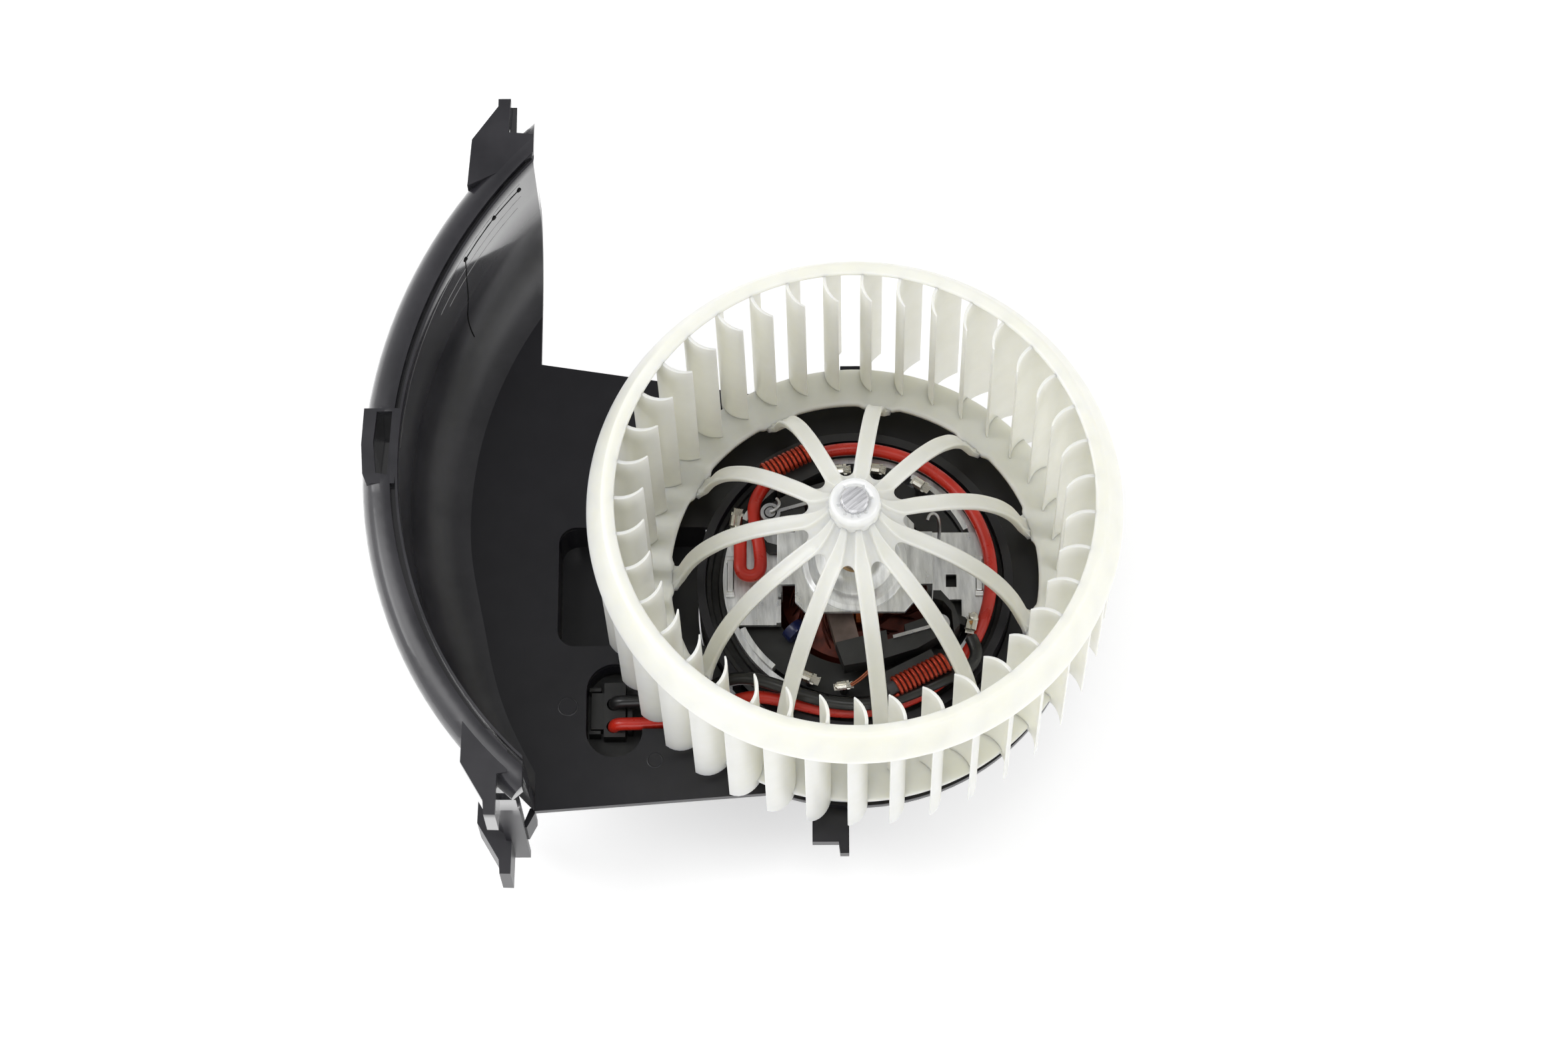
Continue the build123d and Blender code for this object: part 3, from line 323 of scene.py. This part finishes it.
def through(points, steps):
    """Smooth samples through (r, z) points."""
    out = []
    count = len(points)
    for k in range(count - 1):
        p0, p1, p2, p3 = (Vector(points[min(max(k + d, 0), count - 1)]) for d in (-1, 0, 1, 2))
        for s in range(steps):
            t = s / steps
            out.append(0.5 * (2 * p1 + (p2 - p0) * t + (2 * p0 - 5 * p1 + 4 * p2 - p3) * t ** 2
                              + (3 * p1 - p0 - 3 * p2 + p3) * t ** 3))
    out.append(Vector(points[-1]))
    return out


# ---------------------------------------------------------------- the wheel
SPOKES = 11
SPOKE_START = radians(-16.0)
SPOKE_HALF = 2.4
SLOT_START = 14.1
SLOT_ROUND = 1.55
BLADES = 39
BLADE_START = radians(4.32)
# sections as (radius, height) in millimetres
RIM_SECTION = [(75.0, 115.0), (70.3, 124.6), (69.4, 125.0), (67.0, 124.9), (66.6, 124.1), (67.0, 123.2),
               (68.4, 122.6), (73.4, 114.6)]
DOME = [(7.2, 116.4), (8.4, 113.2), (10.4, 109.4), (12.4, 106.8), (14.5, 105.0), (19.2, 103.2), (24.0, 101.0),
        (29.4, 98.1), (34.0, 94.6), (37.6, 91.2), (40.5, 87.6), (43.5, 83.2), (46.0, 78.5), (48.3, 73.0),
        (50.0, 67.5), (51.4, 62.8), (53.4, 59.4)]


def rim():
    """Conical front rim with a rounded front edge."""
    verts, faces = lathe(rounded(RIM_SECTION, 0.45), 240)
    return solid_piece("rim_moulding", verts, faces, "wheel_plastic", "rotor")


def back_ring():
    """Shallow cone that joins the blades to the spokes; its inner edge is wider at each spoke."""
    pitch = 2 * pi / SPOKES

    def section(angle):
        off = (angle - SPOKE_START + pitch / 2) % pitch - pitch / 2
        across = abs(off) * 53
        share = min(max((across - 4.0) / 2.2, 0), 1)
        inner = 52.5 + 0.9 * share * share * (3 - 2 * share)
        points = [(inner, 59.5), (inner + 0.9, 59.9), (inner + 2.2, 59.3), (66.8, 54.9), (66.9, 53.0),
                  (54.4, 57.2), (inner + 0.2, 57.7)]
        return rounded(points, 0.35, 2)

    verts, faces = lathe(section, 330)
    return solid_piece("ring_moulding", verts, faces, "wheel_plastic", "rotor")


def blade_section():
    """Points along the blade's arc, from the inner to the outer edge: place and outward normal."""
    found = []
    for k in range(801):
        a = radians(160 - 140 * k / 800)
        place = Vector((65.3 + 8.6 * cos(a), -8.0 + 8.6 * sin(a)))
        if 58.7 <= place.length <= 74.0 and place.y >= -5.0:
            found.append((place, Vector((cos(a), sin(a)))))
    count = 14
    return [found[round(k * (len(found) - 1) / count)] for k in range(count + 1)]


def blade_top(r):
    """Height of a blade's front end at a radius: under the conical rim, then level."""
    if r > 69.2:
        return 124.2 - (r - 69.2) * 9.2 / 5.0
    return 124.4 - max(0, 66.6 - r) * 0.03


def blades():
    """All blades, each a curved sheet that thins to rounded edges and has a rounded free end."""
    stations = blade_section()
    count = len(stations)
    levels = 9
    verts, faces = [], []
    for b in range(BLADES):
        turn = Matrix.Rotation(BLADE_START + 2 * pi * b / BLADES, 3, "Z")
        base = len(verts)
        loop = []
        for k, (place, normal) in enumerate(stations):
            share = k / (count - 1)
            half = 0.47 * (1 - 0.5 * abs(2 * share - 1) ** 3)
            loop.append((place + normal * half, share))
        for k in reversed(range(count)):
            place, normal = stations[k]
            share = k / (count - 1)
            half = 0.47 * (1 - 0.5 * abs(2 * share - 1) ** 3)
            loop.append((place - normal * half, share))
        for level in range(levels):
            t = level / (levels - 1)
            for place, share in loop:
                low = 50.2 + 2.6 * max(0, share - 0.72) ** 2 / 0.28 ** 2 * 0.9
                low += 1.6 * max(0, 0.12 - share) / 0.12
                high = blade_top(place.length)
                flat = turn @ Vector((place.x, place.y, 0))
                verts.append((flat.x, flat.y, low + (high - low) * t))
        n = len(loop)
        for level in range(levels - 1):
            for i in range(n):
                j = (i + 1) % n
                p = base + level * n
                faces.append((p + i, p + j, p + n + j, p + n + i))
        for k in range(count - 1):
            for p in (base, base + (levels - 1) * n):
                faces.append((p + k, p + k + 1, p + n - 2 - k, p + n - 1 - k))
    made = solid_piece("blade_mouldings", verts, faces, "wheel_plastic", "rotor", 50)
    bevel = made.modifiers.new("bevel", "BEVEL")
    bevel.width = 0.16 * MM
    bevel.segments = 2
    bevel.limit_method = "ANGLE"
    bevel.angle_limit = radians(50)
    return made


def spider():
    """Domed spokes with raised edges, which run up the hub's cone as narrowing ribs."""
    pitch = 2 * pi / SPOKES
    rows = []
    dome = through(DOME, 5)
    slot_rows = [(SLOT_START + SLOT_ROUND * (1 - cos(radians(a))), radians(a))
                 for a in (0, 12, 26, 42, 58, 74, 90)]
    curve = [p for p in dome if p.x < SLOT_START - 0.15]

    def on_dome(r):
        for p, q in zip(dome, dome[1:]):
            if p.x <= r <= q.x:
                return p.lerp(q, (r - p.x) / (q.x - p.x))
        return dome[-1]

    for p in curve:
        rows.append((p, p.x * sin(pitch / 2), False))
    corner = SLOT_START * sin(pitch / 2) - SPOKE_HALF
    for r, a in slot_rows:
        rows.append((on_dome(r), SPOKE_HALF + corner * (1 - sin(a)), True))
    for p in dome:
        if p.x > SLOT_START + SLOT_ROUND + 0.3:
            foot = max(0.0, (p.x - 50.6) / 2.8)
            rows.append((p, SPOKE_HALF + 1.7 * foot ** 2, True))
    columns = 13
    verts, faces = [], []
    for s in range(SPOKES):
        turn = SPOKE_START + s * pitch
        base = len(verts)
        for k, (p, width, free) in enumerate(rows):
            before = rows[max(k - 1, 0)][0]
            after = rows[min(k + 1, len(rows) - 1)][0]
            along = (after - before).normalized()
            normal = Vector((-along.y, along.x))
            if normal.y < 0 and normal.x < 0:
                normal = -normal
            share = min(max((p.x - 7.2) / 7.3, 0), 1)
            rib = 0.75 + 1.37 * share
            drop = 0.75 - 0.35 * min(max((p.x - 15) / 4, 0), 1)
            trough = 0.26 * share
            near = min(rib + 0.3, width)
            layout = [(width, drop + 0.12), (near, drop), (rib, 0.08), (rib * 0.88, 0.0),
                      (rib * 0.72, trough * 0.5), (rib * 0.58, trough), (0, trough)]
            offsets = [(-t, d) for t, d in layout] + [(t, d) for t, d in layout[-2::-1]]
            for thick in (False, True):
                for t, depth in offsets:
                    inset = 0.25 if thick and free else 0.0
                    here = p - normal * (2.0 if thick else depth)
                    side = (abs(t) - inset) * (1 if t > 0 else -1) if abs(t) > inset else 0
                    reach = max(here.x, 5.6)
                    phi = turn + asin(max(-1.0, min(side / p.x, 1.0)))
                    verts.append((reach * cos(phi), reach * sin(phi), here.y))
        stride = 2 * columns
        for k in range(len(rows) - 1):
            a, b = base + k * stride, base + (k + 1) * stride
            for i in range(columns - 1):
                faces.append((a + i, a + i + 1, b + i + 1, b + i))
                faces.append((a + columns + i, b + columns + i, b + columns + i + 1, a + columns + i + 1))
            if rows[k][2]:
                faces.append((a, b, b + columns, a + columns))
                faces.append((a + columns - 1, a + stride - 1, b + stride - 1, b + columns - 1))
        for a in (base, base + (len(rows) - 1) * stride):
            for i in range(columns - 1):
                faces.append((a + i, a + i + 1, a + columns + i + 1, a + columns + i))
    return solid_piece("spider_moulding", verts, faces, "wheel_plastic", "rotor", 60)


def hub():
    """Collar on the shaft, with the notches of the crimping tool round its bore."""
    notches = (8, 58, 125, 196, 236, 262, 284, 311)

    def section(angle):
        sunk = any(abs((degrees(angle) - n + 180) % 360 - 180) < 5 for n in notches)
        well = 120.1 if sunk else 120.35
        reach = 5.2 if sunk else 4.7
        return [(4.02, 93), (6.3, 93), (6.8, 98), (7.1, 112), (7.35, 117.8), (7.25, 119.2), (6.8, 120.2),
                (6.3, 120.65), (5.8, 120.65), (reach, 120.45), (reach - 0.15, well), (4.02, well)]

    verts, faces = lathe(section, 144)
    return solid_piece("hub_collar", verts, faces, "hub_plastic", "rotor", 42)


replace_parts(rim(), "wheel_rim")
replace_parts(back_ring(), "wheel_back_ring")
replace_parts(blades(), "wheel_blades")
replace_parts(spider(), "wheel_spider")
hub()

# ---------------------------------------------------------------- chokes and leads, in millimetres
CHOKE_CENTRE = Vector((18.4, -33.0, 67.2))
CHOKE_ANGLE = radians(27.0)
RED_ROUTE = [
    (-33.0, 13.1, 61.9), (-33.3, 8.6, 62.1), (-33.2, 4.8, 62.3), (-33.3, 1.0, 62.4), (-32.2, -0.6, 62.4),
    (-30.3, -1.2, 62.4), (-28.4, -0.6, 62.4), (-27.3, 1.0, 62.4), (-27.3, 4.6, 62.3), (-27.9, 9.2, 62.2),
    (-29.2, 15.8, 62.4), (-29.4, 23.2, 61.0), (-23.0, 32.2, 59.3), (-12.0, 38.2, 59.0), (0.0, 40.2, 59.0),
    (12.0, 38.2, 59.0), (22.6, 33.2, 59.0), (31.6, 24.8, 59.0), (37.4, 14.6, 59.0), (40.0, 3.0, 59.0),
    (39.0, -9.0, 59.0), (34.8, -20.0, 57.6), (27.6, -30.0, 57.2), (17.0, -37.2, 57.4), (5.0, -41.0, 57.6),
    (-7.0, -41.0, 57.6), (-18.4, -38.2, 57.9), (-28.0, -35.8, 57.0), (-35.6, -35.9, 52.6),
    (-42.4, -37.4, 47.2), (-49.4, -39.2, 44.7), (-57.2, -40.0, 44.6), (-64.4, -40.2, 44.9),
    (-69.4, -40.2, 44.6), (-70.4, -40.2, 42.4), (-70.5, -40.2, 38.4),
]
BLACK_ROUTE = [
    (33.4, -20.0, 61.6), (35.4, -24.0, 62.0), (33.8, -28.8, 62.2), (28.0, -31.8, 62.4), (19.0, -36.0, 62.4),
    (9.0, -39.8, 62.2), (-2.0, -40.6, 62.2), (-13.0, -38.4, 62.4), (-23.0, -34.0, 61.8), (-31.6, -30.6, 58.6),
    (-38.6, -30.2, 53.2), (-45.2, -31.4, 47.6), (-51.8, -32.4, 45.0), (-58.4, -33.0, 44.6),
    (-64.6, -33.3, 44.9), (-69.4, -33.4, 44.6), (-70.4, -33.4, 42.4), (-70.5, -33.4, 38.4),
]
LEAD_RADIUS = 1.88


def choke(name, half_turn):
    """Air-spaced helix of enamelled wire round the ferrite rod, its ends turned down."""
    turns = 12
    per_turn = 28
    radius = 2.5
    place = (Matrix.Rotation(half_turn, 4, "Z") @ Matrix.Translation(CHOKE_CENTRE)
             @ Matrix.Rotation(CHOKE_ANGLE, 4, "Z"))
    route = [Vector((-8.9, -1.2, -4.4)), Vector((-8.8, -1.9, -2.2))]
    for k in range(turns * per_turn + 1):
        angle = 2 * pi * k / per_turn + pi
        route.append(Vector((-8.3 + 16.6 * k / (turns * per_turn), radius * cos(angle), radius * sin(angle))))
    route += [Vector((8.8, -1.9, -2.2)), Vector((8.9, -1.2, -4.4))]
    return wire(name, [[place @ p for p in route]], 0.58, "enamelled_copper", "stator", False, 3)


for number, half_turn in ((1, 0.0), (2, pi)):
    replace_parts(choke("choke_winding_" + str(number), half_turn), "choke_coil_" + str(number))
red_lead = wire("red_lead_insulation", [RED_ROUTE], LEAD_RADIUS, "red_insulation", "stator", True, 6)
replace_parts(red_lead, "red_lead")
black_lead = wire("black_lead_insulation", [BLACK_ROUTE], LEAD_RADIUS, "black_insulation", "stator", True, 6)
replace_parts(black_lead, "black_lead")


# ---------------------------------------------------------------- armature wires
def armature_wires():
    """Wound heads, and the wires from them up to the commutator's hooks."""
    bars = 12
    spool = Random(7)
    routes = []
    for k in range(bars):
        for strand in range(9):
            start = 2 * pi * (k + 0.1 * strand / 9 + spool.uniform(-0.05, 0.05)) / bars
            span = radians(120 + spool.uniform(-8, 8))
            route = []
            for s in range(11):
                t = s / 10
                angle = start + span * t
                r = 22.6 - (22.6 - 11.5 - strand * 0.9) * sin(pi * t) * 0.55
                z = 42.4 + 5.6 * sin(pi * t) ** 0.6 * (0.55 + 0.05 * strand) + spool.uniform(-0.1, 0.1)
                route.append((r * cos(angle), r * sin(angle), z))
            routes.append(route)
        for strand in range(5):
            bar = 2 * pi * (k + 0.5) / bars + radians(spool.uniform(-3, 3))
            slot = bar + radians(spool.uniform(14, 40))
            foot_r = spool.uniform(18.0, 21.6)
            route = []
            for s in range(8):
                t = s / 7
                angle = bar + (slot - bar) * t
                r = 12.9 + (foot_r - 12.9) * t ** 0.8
                z = 54.6 - (54.6 - 46.4) * t ** 1.3
                route.append((r * cos(angle), r * sin(angle), z))
            routes.append(route)
    # the wires take the darker copper, which is painted shade
    return wire("armature_wires", routes, 0.27, "shaded_wound_copper", "rotor", False, 1)


armature_wires()


# ---------------------------------------------------------------- terminals, hooks and small marks
CRIMP_TOP = 60.2
# each crimp as (x, y, turn in degrees, length, width)
CRIMPS = [(-34.4, 17.0, 80, 7.0, 3.2), (-4.0, 32.4, 5, 6.0, 3.0), (6.8, 32.6, -8, 5.0, 3.0),
          (19.4, 27.6, -35, 6.0, 3.0), (33.6, -15.4, 78, 6.0, 3.2), (-3.4, -34.2, 8, 5.6, 2.4),
          (-13.6, -31.6, -22, 7.0, 3.0)]


def strip(path, thick, x0, x1, place, verts, faces):
    """Adds sheet metal: an open (y, z) path with a thickness, drawn from x0 to x1."""
    count = len(path)
    normals = []
    for k in range(count):
        along = (Vector(path[min(k + 1, count - 1)]) - Vector(path[max(k - 1, 0)])).normalized()
        normals.append(Vector((-along.y, along.x)))
    loop = [Vector(p) + n * thick / 2 for p, n in zip(path, normals)]
    loop += [Vector(p) - n * thick / 2 for p, n in reversed(list(zip(path, normals)))]
    base = len(verts)
    for x in (x0, x1):
        verts += [tuple(place @ Vector((x, p.x, p.y))) for p in loop]
    n = len(loop)
    for i in range(n):
        j = (i + 1) % n
        faces.append((base + i, base + j, base + n + j, base + n + i))
    for k in range(count - 1):
        for b in (base, base + n):
            faces.append((b + k, b + k + 1, b + n - 2 - k, b + n - 1 - k))


def terminals():
    """Crimped terminals: a tongue, and two wings rolled over the wire."""
    verts, faces = [], []
    strands = []
    spool = Random(11)
    for x, y, angle, length, width in CRIMPS:
        place = Matrix.Translation((x, y, CRIMP_TOP)) @ Matrix.Rotation(radians(angle), 4, "Z")
        half = width / 2
        wings = [(-0.05, 1.35), (-0.3 * half, 1.75), (-0.75 * half, 1.6), (-half, 1.0), (-0.85 * half, 0.4),
                 (-0.4 * half, 0.2), (0.4 * half, 0.2), (0.85 * half, 0.4), (half, 1.0), (0.75 * half, 1.6),
                 (0.3 * half, 1.75), (0.05, 1.35)]
        cradle = [(-half, 0.9), (-0.96 * half, 0.25), (0.96 * half, 0.25), (half, 0.9)]
        tongue = [(-0.8 * half, 0.22), (0, 0.2), (0.8 * half, 0.22)]
        strip(wings, 0.34, -0.34 * length, 0.12 * length, place, verts, faces)
        strip(cradle, 0.34, 0.16 * length, 0.3 * length, place, verts, faces)
        strip(tongue, 0.38, -0.5 * length, 0.5 * length, place, verts, faces)
        for k in range(6):
            side = (k - 2.5) * 0.16 * half
            lift = 0.75 + 0.25 * (k % 2)
            route = [(-0.42 * length, side, lift), (0.2 * length, side, lift),
                     (0.42 * length, side * 1.7, 0.62 + spool.uniform(0, 0.2)),
                     (0.5 * length, side * 2.1 + spool.uniform(-0.1, 0.1), 0.6)]
            strands.append([place @ Vector(p) for p in route])
    made = solid_piece("terminal_sheet", verts, faces, "tinned_brass", "stator", 42)
    wire("terminal_strands", strands, 0.13, "tinned_brass", "stator", True, 1)
    return made


def solder(name, place, size, seed, slot):
    """An uneven drop of solder or flux."""
    work = bmesh.new()
    bmesh.ops.create_icosphere(work, subdivisions=3, radius=1.0)
    drop = Random(seed)
    waves = []
    for _ in range(5):
        way = Vector((drop.uniform(-1, 1), drop.uniform(-1, 1), drop.uniform(-1, 1)))
        waves.append((way * 3, drop.uniform(0, 6)))
    verts = []
    for v in work.verts:
        lump = 1 + 0.09 * sum(sin(v.co.dot(w) + p) for w, p in waves)
        verts.append(Vector((v.co.x * size[0], v.co.y * size[1], v.co.z * size[2])) * lump + Vector(place))
    faces = [[v.index for v in f.verts] for f in work.faces]
    work.free()
    return solid_piece(name, verts, faces, slot, "stator", 80)


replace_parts(terminals(), "crimp_terminals")
solder("solder_right", (34.0, -13.6, 61.2), (1.5, 1.2, 0.55), 3, "tinned_brass")
solder("flux_right", (33.5, -15.6, 61.7), (0.9, 0.7, 0.45), 5, "flux")
solder("solder_south", (-4.6, -34.3, 61.0), (1.4, 0.9, 0.5), 8, "tinned_brass")
solder("solder_north", (6.4, 32.7, 61.2), (1.3, 0.9, 0.6), 9, "tinned_brass")
solder("solder_west", (-34.2, 15.0, 61.4), (0.8, 1.3, 0.6), 14, "tinned_brass")
wire("spring_hooks", [
    [(24.6, 11.6, 57.2), (24.9, 13.6, 62.0), (24.4, 15.9, 65.2), (22.9, 16.9, 66.0), (21.5, 15.9, 66.2),
     (21.2, 14.4, 66.2)],
    [(-24.4, 17.2, 66.9), (-23.0, 17.4, 67.4), (-21.9, 18.6, 67.6), (-21.7, 20.2, 67.4), (-22.6, 21.2, 67.0)],
], 0.5, "spring_steel", "stator")
wire("brush_pigtails", [
    [(5.2, -20.6, 65.0), (6.2, -22.4, 66.2), (6.8, -25.0, 65.4), (5.2, -28.8, 63.0), (1.2, -32.4, 61.4),
     (-1.4, -33.8, 60.9)],
    [(5.6, -20.6, 65.0), (6.8, -22.2, 65.9), (7.3, -25.0, 65.0), (5.6, -29.0, 62.7), (1.6, -32.8, 61.2),
     (-1.2, -34.3, 60.8)],
], 0.34, "bare_copper", "stator")

# the housing's inner wall, as (angle in degrees, height)
WALL_LINE = [(131.7, 89.5), (136.2, 90.2), (142.2, 89.7), (143.4, 68.6), (145.2, 53.5)]


def on_wall(angle, z, out=0.0):
    """Point on the inner face of the scroll wall."""
    r = 129.6 - 0.40 * (angle - 181.8) - 3.4 - out
    if z >= 63:
        r += (z - 63) / 34 * 1.2
    else:
        r += (256 - (63 - z) ** 2) ** 0.5 - 16
    return Vector((r * cos(radians(angle)), r * sin(radians(angle)), z))


def wall_marks():
    """The mould's parting lines on the wall's upper part, with the marks of its pins."""
    lines = []
    for (a0, z0), (a1, z1) in zip(WALL_LINE, WALL_LINE[1:]):
        lines.append([on_wall(a0 + (a1 - a0) * k / 8, z0 + (z1 - z0) * k / 8, -0.02) for k in range(9)])
    wire("mould_line", lines, 0.2, "mark_black", "stator", False, 2)
    for number, (angle, z) in enumerate(WALL_LINE[:3]):
        place = on_wall(angle, z)
        verts, faces = lathe([(0, 0), (0.85, 0), (0.75, 0.3), (0, 0.38)], 20)
        turn = Matrix.Rotation(radians(angle), 4, "Z") @ Matrix.Rotation(-pi / 2, 4, "Y")
        verts = [Matrix.Translation(place) @ turn @ Vector(v) for v in verts]
        solid_piece("pin_mark_" + str(number + 1), verts, faces, "mark_black", "stator")
    steps = []
    for z, first, last in ((92.4, 131.4, 168), (85.0, 131.6, 149), (80.6, 132.4, 147)):
        steps.append([on_wall(first + (last - first) * k / 24, z, 0.0) for k in range(25)])
    wire("wall_steps", steps, 0.09, "housing_gloss", "stator", False, 1)


def plate_mark(name, x, y, radius):
    """Shallow round mark that an ejector pin leaves in the plate."""
    section = rounded([(radius, 46.9), (radius, 47.06), (radius - 0.35, 47.1), (radius - 0.7, 46.9)], 0.05, 2)
    verts, faces = lathe(section, 40)
    verts = [(vx + x, vy + y, vz) for vx, vy, vz in verts]
    return solid_piece(name, verts, faces, "housing_plastic", "stator")


wall_marks()
plate_mark("ejector_mark_1", -83.5, -35.5, 3.0)
plate_mark("ejector_mark_2", -58.0, -52.0, 2.4)


carried_over()
for node, radius in EDGE_RADII.items():
    soften(node, radius)

# ---------------------------------------------------------------- stage, light and camera
FLOOR_SIZE = 12.0
CAMERA_PLACE = (-0.0021, -0.4324, 1.2492)
CAMERA_TILT = 0.3608
CAMERA_LEAN = 0.0155
CAMERA_LENS = 100.0


def floor():
    """White, glowing a little, so that its far parts stay as pale as its near ones."""
    mesh = bpy.data.meshes.new("floor")
    half = FLOOR_SIZE / 2
    corners = [(-half, -half, 0), (half, -half, 0), (half, half, 0), (-half, half, 0)]
    mesh.from_pydata(corners, [], [(0, 1, 2, 3)])
    made = bpy.data.objects.new("floor", mesh)
    bpy.context.scene.collection.objects.link(made)
    material, tree, shader = new_material("floor_white")
    shader.inputs["Base Color"].default_value = (0.93, 0.93, 0.93, 1)
    shader.inputs["Roughness"].default_value = 0.25
    shader.inputs["Specular IOR Level"].default_value = 0.3
    shader.inputs["Emission Color"].default_value = (1, 1, 1, 1)
    shader.inputs["Emission Strength"].default_value = 0.35
    made.data.materials.append(material)


def softbox(name, place, target, width, height, power):
    """Rectangular soft light that faces its target."""
    light = bpy.data.lights.new(name, "AREA")
    light.shape = "RECTANGLE"
    light.size = width
    light.size_y = height
    light.energy = power
    made = bpy.data.objects.new(name, light)
    made.location = place
    made.rotation_euler = (Vector(target) - Vector(place)).to_track_quat("-Z", "Y").to_euler()
    bpy.context.scene.collection.objects.link(made)


def studio():
    """Bright all round near the horizon, dark overhead, with large soft panels."""
    world = bpy.data.worlds.new("studio")
    world.use_nodes = True
    tree = world.node_tree
    background = tree.nodes["Background"]
    split = tree.nodes.new("ShaderNodeSeparateXYZ")
    tree.links.new(tree.nodes.new("ShaderNodeTexCoord").outputs["Generated"], split.inputs["Vector"])
    sky = ramp(tree, split.outputs["Z"], (0.0, (0.94, 0.94, 0.94)), (0.45, (0.84, 0.84, 0.85)),
               (0.72, (0.30, 0.30, 0.30)), (1.0, (0.22, 0.22, 0.22)))
    tree.links.new(sky, background.inputs["Color"])
    background.inputs["Strength"].default_value = 0.95
    bpy.context.scene.world = world
    centre = (-0.03, 0, 0.06)
    softbox("key", (-1.0, 0.1, 1.1), centre, 0.5, 1.3, 10)
    softbox("fill", (1.2, -0.2, 1.1), centre, 0.8, 1.3, 7)
    softbox("front", (-0.2, -1.5, 1.2), centre, 1.4, 0.6, 6)
    softbox("top", (0.05, -0.05, 1.6), centre, 0.5, 0.5, 2.5)


def camera():
    """Camera that looks into the wheel's open front, a little from below the object's middle."""
    lens = bpy.data.cameras.new("camera")
    lens.lens = CAMERA_LENS
    lens.sensor_width = 36.0
    lens.clip_end = 50.0
    made = bpy.data.objects.new("camera", lens)
    to_camera = Matrix.Rotation(-CAMERA_TILT, 3, "X") @ Matrix.Rotation(-CAMERA_LEAN, 3, "Y")
    made.matrix_world = Matrix.Translation(CAMERA_PLACE) @ to_camera.transposed().to_4x4()
    bpy.context.scene.collection.objects.link(made)
    bpy.context.scene.camera = made


floor()
studio()
camera()
bpy.context.scene.view_settings.view_transform = "Standard"
